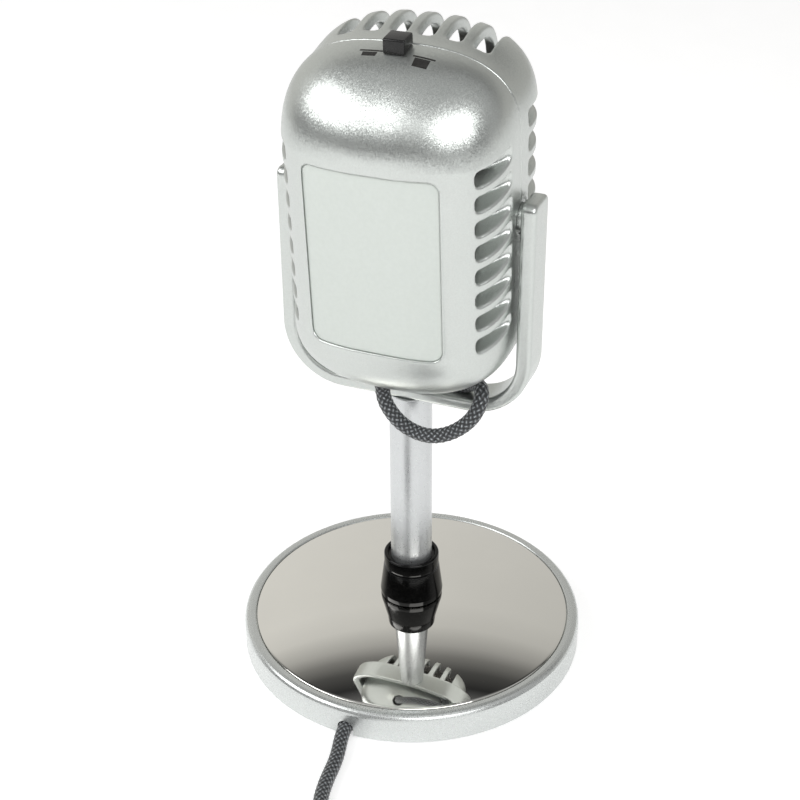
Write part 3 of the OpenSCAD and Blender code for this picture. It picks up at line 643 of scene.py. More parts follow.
def grid_mesh(fun, lo, hi, h):
    """evaluate fun on the whole grid, a slab at a time, and mesh it"""
    n = [int(math.ceil((b - a) / h)) + 1 for a, b in zip(lo, hi)]
    ax = [lo[i] + h * np.arange(n[i]) for i in range(3)]
    f = np.empty(n)
    step = max(1, 900000 // (n[1] * n[2]))
    for i in range(0, n[0], step):
        X, Y, Z = np.meshgrid(ax[0][i:i + step], ax[1], ax[2], indexing="ij")
        V = np.stack([X.ravel(), Y.ravel(), Z.ravel()], 1)
        f[i:i + step] = fun(V).reshape(X.shape)
    V, Q = surface_nets(f, lo[0], lo[1], lo[2], h)
    return project(V, fun, h, 2), Q


def half_grid_mesh(fun, lo, hi, h):
    """as grid_mesh, for a shape symmetric in x apart from small parts: full width"""
    return grid_mesh(fun, lo, hi, h)


H = 0.42

V, Q = grid_mesh(rear_field, (-31.6, 0.4, -50.2), (31.6, 26.8, 44.2), H)
rear = make("rear_shell_skin", head_world(V), Q, SILVER, "head", "silver_plastic", ("rear_shell",))
V, Q = grid_mesh(front_field, (-31.8, -26.6, -50.2), (31.8, 1.9, 46.0), H)
front = make("front_shell_skin", head_world(V), Q, SILVER, "head", "silver_plastic", ("front_grille_shell",))


# ------------------------------------------------------------------ label plate
def label_mesh():
    w, hz, r = 18.26, 25.31, 2.95
    ox, oz = 0.9, -6.95
    # the plate's outline, then rings running inwards
    per = []
    n = 14
    for cx, cz, a0 in ((w - r, hz - r, 0), (-w + r, hz - r, 90), (-w + r, -hz + r, 180), (w - r, -hz + r, 270)):
        for k in range(n + 1):
            a = math.radians(a0 + 90 * k / n)
            per.append((cx + r * math.cos(a), cz + r * math.sin(a)))
    P = np.array(per)
    # more points along the straight edges
    out = []
    for i in range(len(P)):
        a, b = P[i], P[(i + 1) % len(P)]
        L = np.linalg.norm(b - a)
        m = max(1, int(L / 0.9))
        for k in range(m):
            out.append(a + (b - a) * k / m)
    P = np.array(out)
    rings = []
    S45 = lambda x, z, d: surf_y([HEAD_A - d, REAR_B - d, TOP_Z - d, TOP_Z0, LOW_Z0, LOW_Z + 0.55 * d, 2.75, 1.85, 2.56, 2.82, 1.8, 3.3], x, z, 1, SEAM)
    for inset, depth in ((0.0, 0.98), (0.0, 0.66), (0.06, 0.53), (0.17, 0.46), (0.32, 0.44)):
        sc = np.array([(w - inset) / w, (hz - inset) / hz])
        q = P * sc
        q = q + np.array([ox, oz])
        rings.append(np.stack([q[:, 0], S45(q[:, 0], q[:, 1], depth), q[:, 1]], 1))
    for t in np.linspace(0.94, 0.04, 20):
        q = P * t + np.array([ox, oz])
        rings.append(np.stack([q[:, 0], S45(q[:, 0], q[:, 1], 0.44), q[:, 1]], 1))
    V = np.vstack(rings)
    n = len(P)
    F = []
    for i in range(len(rings) - 1):
        for j in range(n):
            k = (j + 1) % n
            F.append((i * n + j, i * n + k, (i + 1) * n + k, (i + 1) * n + j))
    c = len(V)
    mid = (np.array([ox]), np.array([oz]))
    V = np.vstack([V, [[ox, S45(*mid, 0.44)[0], oz], [ox, S45(*mid, 0.98)[0], oz]]])
    last = (len(rings) - 1) * n
    for j in range(n):
        F.append((last + j, last + (j + 1) % n, c))
    # back: rings mirrored inwards at depth 0.98
    b0 = len(V)
    back = []
    for t in np.linspace(0.9, 0.1, 9):
        q = P * t + np.array([ox, oz])
        back.append(np.stack([q[:, 0], S45(q[:, 0], q[:, 1], 0.98), q[:, 1]], 1))
    V = np.vstack([V] + back)
    prev = 0
    for i in range(9):
        cur = b0 + i * n
        for j in range(n):
            k = (j + 1) % n
            F.append((prev + k, prev + j, cur + j, cur + k))
        prev = cur
    for j in range(n):
        F.append((prev + (j + 1) % n, prev + j, c + 1))
    # faces so far wind with +z x ... flip so that the outside looks to +Y
    return V, [tuple(reversed(f)) for f in F]


V, F = label_mesh()
make("label_plate_skin", head_world(V), F, LABEL, "head", "label_white", ("label_plate",), sharp=50)


# ------------------------------------------------------------------ yoke
YW, YD, YR, YB, YT = 35.8, 10.9, 17.5, 84.7, 88.4
ARM, ARM_TOP, ARM_R = 4.2, 147.3, 2.2


def u_dist(x, z, w, zb, r):
    """filled U outline, open at the top: negative inside"""
    qx, qz = np.abs(x) - w + r, zb + r - z
    return np.minimum(np.maximum(qx, qz), 0) + np.hypot(np.maximum(qx, 0), np.maximum(qz, 0)) - r


def yoke_field(V):
    X, Y, Z = V[:, 0], V[:, 1], V[:, 2]
    out = u_dist(X, Z, YW, YB, YR)
    inn = u_dist(X, Z, YW - ARM, YT, YR - ARM)
    qy, qz = np.abs(Y) - YD / 2 + ARM_R, Z - ARM_TOP + ARM_R
    side = np.minimum(np.maximum(qy, qz), 0) + np.hypot(np.maximum(qy, 0), np.maximum(qz, 0)) - ARM_R
    f = smax(smax(out, -inn, 0.9), side, 1.3)
    # channel for the cord and the bore over the stem
    f = smax(f, -smax(smax(np.abs(Y) - 2.4, 86.0 - Z, 1.2), smax(X - 0.2, -16 - X, 2.0), 1.0), 0.5)
    f = smax(f, -(np.hypot(X, Y) - 2.6), 0.3)
    return np.maximum(f, -np.maximum(np.hypot(Y, Z - PIVOT) - 2.52, np.abs(X) - (YW - ARM + 2.2)))


HY = 0.32
V, Q = grid_mesh(yoke_field, (-36.5, -6.0, 84.0), (36.5, 6.0, 148.2), HY)
make("yoke_skin", V, Q, SILVER, "stand", "silver_paint", ("yoke", "yoke_inner_cover"))


# ------------------------------------------------------------------ stand turned parts
DOME = lambda r: 15.8 - r * r / 349.5
ring_pts = [(43, 8.8), (43, 8.3), (47.6, 7.0), (48, 7.0), (48, 0.6), (50, 0.6), (50, 7.9), (49.85, 8.6), (49.45, 9.2),
            (48.9, 9.6), (48.1, 9.75), (46.9, 9.75), (46.62, 9.5), (46.6, 8.8)]
ring_r = [0, 0, 0.2, 0.2, 0.2, 0.45, 0.9, 0.5, 0.5, 0.5, 0.4, 0.2, 0.12, 0]
V, F = lathe(fillet(ring_pts, ring_r, 5), 256)
ring = make("base_ring", V, F, SILVER_RING, None, None)


def cut(ob, V, F):
    """take a solid out of ob, exactly, and leave no modifier behind"""
    tool = make("cutter_tmp", V, F, SILVER_RING, None, None, smooth=False)
    md = ob.modifiers.new("cut", "BOOLEAN")
    md.operation = "DIFFERENCE"
    md.solver = "EXACT"
    md.object = tool
    dg = bpy.context.evaluated_depsgraph_get()
    me = bpy.data.meshes.new_from_object(ob.evaluated_get(dg))
    old = ob.data
    ob.modifiers.remove(md)
    ob.data = me
    bpy.data.meshes.remove(old)
    td = tool.data
    bpy.data.objects.remove(tool)
    bpy.data.meshes.remove(td)


def prism_y(outline, y0, y1):
    """prism of an XZ outline between two depths"""
    n = len(outline)
    V = [(x, y0, z) for x, z in outline] + [(x, y1, z) for x, z in outline]
    F = [tuple(range(n))[::-1], tuple(range(n, 2 * n))] + [(i, (i + 1) % n, n + (i + 1) % n, n + i) for i in range(n)]
    return np.array(V, float), [tuple(reversed(f)) for f in F]


arch = [(-2.35, -1), (2.35, -1)] + [(2.35 * math.cos(math.radians(a)), 3 + 2.35 * math.sin(math.radians(a))) for a in range(0, 181, 12)]
V, F = prism_y(arch, 44.0, 53.0)
cut(ring, V, F)
for p in ring.data.polygons:
    p.use_smooth = True
ring.data.set_sharp_from_angle(angle=math.radians(38))
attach(ring, "stand")
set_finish(ring, "silver_plastic")
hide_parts("base_shell")
# the shell's deck under the mirror plate and its three screw posts
V, F = lathe([(6.05, 8.4), (6.05, 7.0), (47.6, 7.0), (43.0, 8.39)], 96)
deck = make("base_deck", V, F, SILVER_RING, "stand", "silver_plastic", sharp=30)
posts = []
for a in (30, 150, 270):
    c, s = 43 * math.cos(math.radians(a)), 43 * math.sin(math.radians(a))
    pv, pf = lathe([(1.3, 7.0), (1.3, 1.85), (2.7, 1.85), (2.9, 2.05), (2.9, 7.0)], 32)
    posts.append((pv + np.array([c, s, 0]), pf))
V, F = join_faces(posts)
make("base_posts", V, F, SILVER_RING, "stand", "silver_plastic", sharp=30)

plate = [(r, DOME(r)) for r in np.linspace(6.1, 46.05, 90)]
plate += [(46.25, DOME(46.25) - 0.03), (46.36, DOME(46.36) - 0.14), (46.4, DOME(46.4) - 0.32), (46.3, DOME(46.3) - 0.76)]
plate += [(r, DOME(r) - 0.78) for r in np.linspace(46.0, 6.1, 12)]
V, F = lathe(plate, 320)
make("mirror_plate", V, F, CHROME, "stand", "mirror_chrome", ("base_mirror_plate",), sharp=35)

col = fillet([(6.06, 15.82), (9.12, 15.82), (9.2, 17.3), (8.18, 25.5), (7.95, 25.95), (8.05, 26.4), (8.05, 29.9), (6.95, 30.0), (6.7, 28.7), (6.06, 28.7)],
             [0.0, 0.3, 0.6, 0.3, 0.15, 0.25, 0.8, 0.5, 0.1, 0.0], 7)
V, F = lathe(col, 160)
make("stem_collar_skin", V, F, GLOSS, "stand", "gloss_black", ("stem_collar",), sharp=40)

stem = fillet([(4.5, 7.2), (6.0, 7.2), (6.0, 84.68), (4.5, 84.68)], [0, 0.2, 0.25, 0], 4)
V, F = lathe(stem, 160)
make("stem_tube_skin", V, F, STEM, "stand", "stem_silver", ("stem_tube",), sharp=40)

# ------------------------------------------------------------------ switch knob and its printed marks
ZK = 42.9
ktop = lambda y: TOP_Z0 + (TOP_Z - TOP_Z0) * max(0.0, 1 - ((y - SEAM) / REAR_B) ** 1.8) ** (1 / 1.8)


def knob_mesh():
    z = ktop(1.4) + 0.12
    prof = [(1.4, z - 0.02), (4.0, z - 0.12), (7.3, ktop(7.3) + 0.18), (7.3, z + 2.9), (1.4, z + 3.0)]
    prof = fillet(prof, [0.15, 0, 0.15, 0.55, 0.5], 5)
    n = len(prof)
    c = np.mean(prof, 0)
    rings = []
    R = 0.42
    for k in range(6):
        a = math.radians(90 * k / 5)
        rings.append((-2.85 + R * (1 - math.sin(a)), R * (1 - math.cos(a))))
    rings = rings[::-1] + [(-x, ins) for x, ins in rings]
    V, F = [], []
    for x, ins in rings:
        for (y, zz) in prof:
            d = np.array([y, zz]) - c
            L = np.linalg.norm(d)
            q = c + d * (1 - ins / L)
            V.append((x, q[0], q[1]))
    m = len(rings)
    for i in range(m - 1):
        for j in range(n):
            k = (j + 1) % n
            F.append((i * n + j, i * n + k, (i + 1) * n + k, (i + 1) * n + j))
    F.append(tuple(range(n))[::-1])
    F.append(tuple((m - 1) * n + j for j in range(n)))
    return np.array(V), [tuple(reversed(f)) for f in F], z


V, F, zk = knob_mesh()
# the stalk that reaches the switch through the window
sv = np.array([(x, y, z) for z in (38.4, zk + 1) for x, y in ((-1.1, 2.9), (1.1, 2.9), (1.1, 4.7), (-1.1, 4.7))], float)
sf = [(3, 2, 1, 0), (4, 5, 6, 7), (0, 1, 5, 4), (1, 2, 6, 5), (2, 3, 7, 6), (3, 0, 4, 7)]
V, F = join_faces([(V, F), (sv, sf)])
make("slide_knob", head_world(V), F, KNOB, "switch", "gloss_black", ("switch_knob",), sharp=32)


def on_rear(x, y, lift=0.03):
    """point of the rear shell's top at (x, y), lifted"""
    lo, hi = np.full_like(x, 30.0), np.full_like(x, 45.0)
    for _ in range(40):
        mid = (lo + hi) / 2
        inside = gauge(REAR, x, y - SEAM, mid) < 1
        lo, hi = np.where(inside, mid, lo), np.where(inside, hi, mid)
    z = (lo + hi) / 2
    return np.stack([x, y, z + lift], -1)


def print_patch(name, corners, nu=10, nv=6):
    """thin ink patch over the quadrilateral of (x, y) corners"""
    # corners run so that the patch's upper face looks up
    c = np.array(corners, float)
    u, v = np.meshgrid(np.linspace(0, 1, nu), np.linspace(0, 1, nv), indexing="ij")
    xy = (c[0] * ((1 - u) * (1 - v))[..., None] + c[1] * (u * (1 - v))[..., None] + c[2] * (u * v)[..., None] + c[3] * ((1 - u) * v)[..., None])
    top = on_rear(xy[..., 0], xy[..., 1], 0.035)
    bot = on_rear(xy[..., 0], xy[..., 1], -0.03)
    V = np.vstack([top.reshape(-1, 3), bot.reshape(-1, 3)])
    F = []
    m = nu * nv
    for i in range(nu - 1):
        for j in range(nv - 1):
            a, b, cc, d = i * nv + j, (i + 1) * nv + j, (i + 1) * nv + j + 1, i * nv + j + 1
            F.append((a, b, cc, d))
            F.append((m + d, m + cc, m + b, m + a))
    edge = [(i, 0) for i in range(nu)] + [(nu - 1, j) for j in range(1, nv)] + [(i, nv - 1) for i in range(nu - 2, -1, -1)] + [(0, j) for j in range(nv - 2, 0, -1)]
    ids = [i * nv + j for i, j in edge]
    for k in range(len(ids)):
        a, b = ids[k], ids[(k + 1) % len(ids)]
        F.append((b, a, m + a, m + b))
    return V, F


# x runs towards the image's left; the marks sit either side of the knob
# ------------------------------------------------------------------ camera
C = Vector((-0.1424125, 0.3544462, 0.3088425))
R = Vector((-0.92650895, -0.37620638, -0.00706602))
U = Vector((0.18684897, -0.47630334, 0.85919881))
FWD = Vector((0.32660164, -0.7947351, -0.51159308))
cam_d = bpy.data.cameras.new("view")
cam_d.sensor_width = 36
cam_d.lens = 72
cam_d.clip_start = 0.01
cam = bpy.data.objects.new("view", cam_d)
m = Matrix.Identity(4)
for i in range(3):
    m[i][0], m[i][1], m[i][2], m[i][3] = R[i], U[i], -FWD[i], C[i]
cam.matrix_world = m
bpy.context.scene.collection.objects.link(cam)
bpy.context.scene.camera = cam


def ray_to_top(px, py):
    """the rear shell's (x, y) seen at an image point"""
    d = np.array(FWD) + np.array(R) * (px - 400) / 1600 + np.array(U) * (400 - py) / 1600
    o = np.array(C) * 1000
    c, s = math.cos(TILT), math.sin(TILT)
    def to_head(p):
        q = p - np.array([0, 0, PIVOT])
        return np.array([q[0], q[1] * c - q[2] * s, q[1] * s + q[2] * c])
    ts = np.linspace(250, 420, 1701)
    pts = np.array([to_head(o + d * t) for t in ts])
    g = gauge(REAR, pts[:, 0], pts[:, 1] - SEAM, pts[:, 2])
    k = np.argmax((g < 1) & (pts[:, 1] > SEAM))
    return pts[k][:2]


marks = []
for quad in ([(-10.6, 6.5), (-4.7, 6.1), (-4.7, 6.6), (-10.6, 7.0)],
             [(-9.5, 7.2), (-5.4, 6.9), (-5.5, 9.7), (-9.4, 10.0)],
             [(3.2, 5.9), (9.2, 6.1), (9.2, 6.6), (3.2, 6.4)],
             [(4.4, 6.7), (8.2, 6.9), (8.1, 8.3), (4.6, 8.1)]):
    marks.append(print_patch("m", quad))
V, F = join_faces(marks)
make("switch_marks", head_world(V), F, PRINT, "head", "gloss_black", sharp=60)


# ------------------------------------------------------------------ cord
def catmull(P, step):
    P = np.asarray(P, float)
    P = np.vstack([2 * P[0] - P[1], P, 2 * P[-1] - P[-2]])
    out = []
    for i in range(1, len(P) - 2):
        p0, p1, p2, p3 = P[i - 1:i + 3]
        n = max(2, int(np.linalg.norm(p2 - p1) / step))
        t = np.linspace(0, 1, n, endpoint=False)[:, None]
        t0, t1 = 0, np.linalg.norm(p1 - p0) ** 0.5
        t2 = t1 + np.linalg.norm(p2 - p1) ** 0.5
        t3 = t2 + np.linalg.norm(p3 - p2) ** 0.5
        tt = t1 + (t2 - t1) * t
        A1 = (t1 - tt) / (t1 - t0) * p0 + (tt - t0) / (t1 - t0) * p1
        A2 = (t2 - tt) / (t2 - t1) * p1 + (tt - t1) / (t2 - t1) * p2
        A3 = (t3 - tt) / (t3 - t2) * p2 + (tt - t2) / (t3 - t2) * p3
        B1 = (t2 - tt) / (t2 - t0) * A1 + (tt - t0) / (t2 - t0) * A2
        B2 = (t3 - tt) / (t3 - t1) * A2 + (tt - t1) / (t3 - t1) * A3
        out.append((t2 - tt) / (t2 - t1) * B1 + (tt - t1) / (t2 - t1) * B2)
    out.append(P[-2][None])
    return np.vstack(out)


def resample(P, step):
    d = np.concatenate([[0], np.cumsum(np.linalg.norm(np.diff(P, axis=0), axis=1))])
    n = max(2, int(round(d[-1] / step)) + 1)
    s = np.linspace(0, d[-1], n)
    return np.stack([np.interp(s, d, P[:, i]) for i in range(3)], 1), d[-1]


def smooth_path(P, times=6, keep=2):
    P = P.copy()
    for _ in range(times):
        Q = P.copy()
        Q[keep:-keep] = 0.25 * P[keep - 1:-keep - 1] + 0.5 * P[keep:-keep] + 0.25 * P[keep + 1:len(P) - keep + 1]
        P = Q
    return P


PICK = 0.85          # mm of cord per crossing of the braid
STRANDS = 8


def braid_height(p, q):
    fp, fq = p - np.floor(p), q - np.floor(q)
    sg = 1 - 2 * ((np.floor(p) + np.floor(q)) % 2)
    pa, pb = np.sin(math.pi * fp), np.sin(math.pi * fq)
    return np.maximum(pa * (0.7 + 0.3 * sg * pb), pb * (0.7 - 0.3 * sg * pa))


def tube(P, r, sides, relief=0.0, cap0=True, cap1=True, taper0=0, s0=0.0):
    """closed tube along P (mm) with the braid's real relief; returns V, F, uv"""
    P = np.asarray(P, float)
    n = len(P)
    T = np.gradient(P, axis=0)
    T /= np.linalg.norm(T, axis=1, keepdims=True)
    u = np.cross(T[0], [0.13, 0.21, 0.97])
    u /= np.linalg.norm(u)
    Us = [u]
    for i in range(1, n):
        u = Us[-1] - T[i] * (Us[-1] @ T[i])
        Us.append(u / np.linalg.norm(u))
    Us = np.array(Us)
    Ws = np.cross(T, Us)
    d = s0 + np.concatenate([[0], np.cumsum(np.linalg.norm(np.diff(P, axis=0), axis=1))])
    k = np.arange(sides)
    th = 2 * math.pi * k / sides
    uu = (STRANDS * k / sides)[None, :]
    vv = (d / (2 * PICK))[:, None]
    rel = relief if np.ndim(relief) else np.full(n, relief)
    h = braid_height(uu + vv, uu - vv)
    rad = r + rel[:, None] * (h - 0.75)
    V = P[:, None, :] + rad[..., None] * (np.cos(th)[None, :, None] * Us[:, None, :] + np.sin(th)[None, :, None] * Ws[:, None, :])
    V = V.reshape(-1, 3)
    i, j = np.meshgrid(np.arange(n - 1), np.arange(sides), indexing="ij")
    j2 = (j + 1) % sides
    F = np.stack([i * sides + j, i * sides + j2, (i + 1) * sides + j2, (i + 1) * sides + j], -1).reshape(-1, 4)
    U0 = STRANDS * j / sides
    U1 = STRANDS * (j + 1) / sides
    V0, V1 = d[i] / (2 * PICK), d[i + 1] / (2 * PICK)
    uv = np.stack([np.stack([U0, V0], -1), np.stack([U1, V0], -1), np.stack([U1, V1], -1), np.stack([U0, V1], -1)], -2).reshape(-1, 2)
    faces = [tuple(f) for f in F.tolist()]
    uvs = [uv]
    faces.append(tuple(range(sides))[::-1])
    uvs.append(np.zeros((sides, 2)))
    faces.append(tuple((n - 1) * sides + q for q in range(sides)))
    uvs.append(np.zeros((sides, 2)))
    return V, faces, np.vstack(uvs)


def merge_tubes(tubes):
    Vs, Fs, Us, o = [], [], [], 0
    for V, F, u in tubes:
        Vs.append(V)
        Fs += [tuple(i + o for i in f) for f in F]
        Us.append(u)
        o += len(V)
    return np.vstack(Vs), Fs, np.vstack(Us)


CR = 2.0
loop_pts = [(2.6, 14.2, 96.6), (2.6, 14.05, 94.4), (2.5, 14.1, 92.2), (1.5, 14.9, 89.2), (-0.5, 15.5, 86.5), (-3.6, 15.6, 83.5),
            (-7.9, 15, 81.2), (-12, 14.5, 80.8), (-16, 13.5, 81.8), (-19.7, 12.4, 84.2), (-22.2, 11.2, 87), (-23.4, 9.8, 89.8),
            (-23.5, 8, 92), (-22.4, 5.6, 93), (-20.3, 3.2, 92.6), (-17.8, 1.4, 91), (-15, 0.4, 89.4), (-12, 0, 88.6), (-9, 0, 88.4)]
LP, LL = resample(smooth_path(catmull(loop_pts, 0.2), 30, 4), 0.17)
V, F, uv = tube(LP, CR, 64, 0.25)
loop = make("cord_loop_braid", V, F, BRAID, None, None, uv=uv)
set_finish(loop, "cord_braid")
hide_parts("cord_loop")
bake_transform(loop)

tail_pts = [(0, 44, 3), (0, 47, 3), (0, 49.6, 3), (-0.4, 53, 3), (-1.2, 56.5, 2.6), (-2, 60, 2.2), (-2.6, 64, 2), (-3, 68, 2), (-3.6, 72, 2),
            (-4.8, 77, 2), (-7.4, 82, 2), (-11.8, 87, 2), (-17.4, 91.6, 2), (-23.6, 96.4, 2), (-29.4, 101.8, 2),
            (-34, 108, 2), (-37.4, 114.6, 2), (-39.4, 121, 2), (-40.1, 126, 2)]
end_pts = [(-30, 113, 13.2), (-32, 119, 13.2), (-33, 125, 13.2), (-33, 131, 13.2), (-32, 136.5, 13.2),
           (-29.5, 141.5, 13.4), (-26, 145.5, 13.9), (-21.5, 148, 14.6), (-17, 149, 15.15)]
CX, CY = -6.0, 127.0


def coil_points():
    out = []
    phi, r, z = 180.0, 34.1, 2.0

    def go(dphi, r1, z1):
        nonlocal phi, r, z
        n = max(4, int(abs(dphi) / 6))
        for k in range(1, n + 1):
            t = k / n
            w = t * t * (3 - 2 * t)
            a = math.radians(phi - dphi * t)
            rr, zz = r + (r1 - r) * w, z + (z1 - z) * w
            # the turns lift a little over the strap of the tie
            q = (math.degrees(a) + 180) % 360 - 180
            zz += 0.85 * math.exp(-(q / 13.0) ** 2)
            out.append((CX + rr * math.cos(a), CY + rr * math.sin(a), zz))
        phi, r, z = phi - dphi, r1, z1

    go(110, 30.0, 2.0)
    for r0, r1, z0, z1 in ((30, 26, 2, 2), (26, 22, 2, 2), (22, 18, 2, 2), (18, 20, 2, 5.6), (20, 24, 5.6, 5.6), (24, 28, 5.6, 5.6),
                           (28, 30, 5.6, 9.2), (30, 26, 9.2, 9.2), (26, 22, 9.2, 9.2)):
        go(310, r0, z0)
        go(50, r1, z1)
    go(310, 22.0, 9.2)
    go(50, 18.3, 9.3)
    go(95, 18.3, 9.3)
    go(55, 18.5, 12.8)
    go(60, 27.0, 13.1)
    return out


coil_pts = coil_points()
FULL = np.array(tail_pts + coil_pts + end_pts[1:], float)
line = catmull(FULL, 0.35)
line, L_all = resample(smooth_path(line, 12, 4), 0.1)
d_all = np.linspace(0, L_all, len(line))
EXIT = 5.6                     # length hidden in the base's rim
VIS = 78.0                     # length with the braid's full relief
a_mask = d_all <= VIS
fine = line[a_mask][:: (2)]
coarse = line[~a_mask][:: (8)]
rel = np.concatenate([np.full(len(fine), 0.16), np.linspace(0.16, 0.10, len(coarse))])


def two_part_tube():
    s1 = 64
    s2 = 24
    k = len(fine)
    # each stretch its own closed tube, meeting end to end
    A = tube(fine, CR, s1, 0.25)
    B = tube(np.vstack([fine[-1:], coarse]), CR, s2, 0.0, s0=d_all[a_mask][-1])
    return merge_tubes([A, B])


V, F, uv = two_part_tube()
cordm = make("cord_braid_long", V, F, BRAID, None, None, uv=uv)
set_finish(cordm, "cord_braid")
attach(cordm, "stand")
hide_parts("cord_tail", "cord_coil", "cord_end")


def place(V, at, yaw):
    """local +Z to the heading yaw in plan, at a point"""
    c, s = math.cos(math.radians(yaw)), math.sin(math.radians(yaw))
    V = np.asarray(V, float)
    out = np.stack([V[:, 2], V[:, 1], -V[:, 0]], 1)          # z -> x
    out = np.stack([out[:, 0] * c - out[:, 1] * s, out[:, 0] * s + out[:, 1] * c, out[:, 2]], 1)
    return out + np.array(at)


PAT = (-17.0, 149.0, 15.15)
body_prof = fillet([(0, 0), (2.5, 0), (2.7, 8), (3.6, 9.5), (3.9, 11), (3.9, 21), (3.5, 22.6), (3, 23), (0, 23)],
                   [0, 0.5, 0.6, 0.6, 0.6, 0.5, 0.4, 0.2, 0], 5)
prof = []
for r, z in body_prof:
    prof.append((r, z))
# ribs of the strain relief
dense = []
for (r0, z0), (r1, z1) in zip(prof, prof[1:]):
    n = max(1, int(abs(z1 - z0) / 0.22))
    for k in range(n):
        t = k / n
        r, z = r0 + (r1 - r0) * t, z0 + (z1 - z0) * t
        if 0.8 < z < 8.6 and r > 1:
            r -= 0.22 * max(0.0, math.sin((z - 0.8) * 2 * math.pi / 1.56))
        if 12.5 < z < 19.6 and r > 1:
            r -= 0.16 * max(0.0, math.sin((z - 12.5) * 2 * math.pi / 1.42))
        dense.append((r, z))
dense.append(prof[-1])
V, F = lathe(dense, 64, closed=False)
plug_b = make("plug_handle", place(V, PAT, 0), F, MATTE, "stand", "gloss_black", ("plug_body",), sharp=40)
pin_prof = fillet([(0, 23), (2.6, 23), (2.6, 23.9), (1.75, 23.9), (1.75, 34.2), (1.35, 34.8), (1.7, 35.6), (1.2, 36.8), (0, 37.2)],
                  [0, 0.2, 0.2, 0.05, 0.2, 0.25, 0.4, 0.5, 0], 4)
V, F = lathe(pin_prof, 48, closed=False)
plug_p = make("plug_contact", place(V, PAT, 0), F, NICKEL, "stand", "plug_nickel", ("plug_pin",), sharp=40)
rv = []
for z in (28.6, 32.0):
    rv.append(lathe(fillet([(1.70, z), (1.79, z), (1.79, z + 0.6), (1.70, z + 0.6)], [0, 0.05, 0.05, 0], 3), 48))
V, F = join_faces(rv)
plug_r = make("plug_insulators", place(V, PAT, 0), F, MATTE, "stand", "black_plastic", ("plug_rings",), sharp=40)


def strap_mesh():
    """hook and loop strap round the coil's section at +X"""
    out = fillet([(15.4, 0.05), (32.9, 0.05), (33.6, 6.0), (31.5, 12.5), (16.6, 12.5), (14.6, 6.5)], [2.0, 2.0, 3.0, 2.4, 2.4, 3.0], 8)
    P = np.array(out)
    ctr = P.mean(0)
    nrm = []
    for i in range(len(P)):
        t = P[(i + 1) % len(P)] - P[i - 1]
        t /= np.linalg.norm(t)
        nn = np.array([t[1], -t[0]])
        nrm.append(nn)
    nrm = np.array(nrm)
    inner = P - nrm * 0.75
    V, F = [], []
    n = len(P)
    sec = [(-3.85, 0), (-4.0, 0.12), (-4.0, 0.63), (-3.85, 0.75), (3.85, 0.75), (4.0, 0.63), (4.0, 0.12), (3.85, 0)]
    m = len(sec)
    for i in range(n):
        for (w, t) in sec:
            q = P[i] - nrm[i] * t
            V.append((CX + q[0], CY + w, q[1]))
    for i in range(n):
        i2 = (i + 1) % n
        for k in range(m):
            k2 = (k + 1) % m
            F.append((i * m + k, i * m + k2, i2 * m + k2, i2 * m + k))
    # points for the strap's overlapping end on top; they are not added to the mesh
    tongue = [(18.5, 12.52), (29.8, 12.52), (30.6, 12.85), (29.8, 13.2), (18.9, 13.2)]
    return np.array(V), F


V, F = strap_mesh()
tie = make("cord_tie_strap", V, F, STRAP, "stand", "tie_black", ("cord_tie",), sharp=40)

bm = bmesh.new()
for ob in bpy.data.objects:
    if ob.type == "MESH" and ob.get("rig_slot") and ob.name in ("cord_braid_long", "cord_loop_braid", "cord_tie_strap", "plug_handle", "plug_contact",
                                                               "plug_insulators", "base_deck", "base_posts", "switch_marks", "slide_knob",
                                                               "label_plate_skin", "stem_collar_skin", "stem_tube_skin", "mirror_plate", "base_ring"):
        bm.clear()
        bm.from_mesh(ob.data)
        bmesh.ops.recalc_face_normals(bm, faces=bm.faces)
        bm.to_mesh(ob.data)
bm.free()


gp = fillet([(2.2, -46.7), (3.0, -46.7), (3.0, -44.4), (2.2, -44.4)], [0.25, 0.3, 0.1, 0.1], 4)
V, F = lathe(gp, 64)
make("cord_grommet_ring", head_world(V + np.array([2.6, 17.3, 0])), F, RUBBER, "head", "black_rubber", ("head_cord_grommet",), sharp=40)


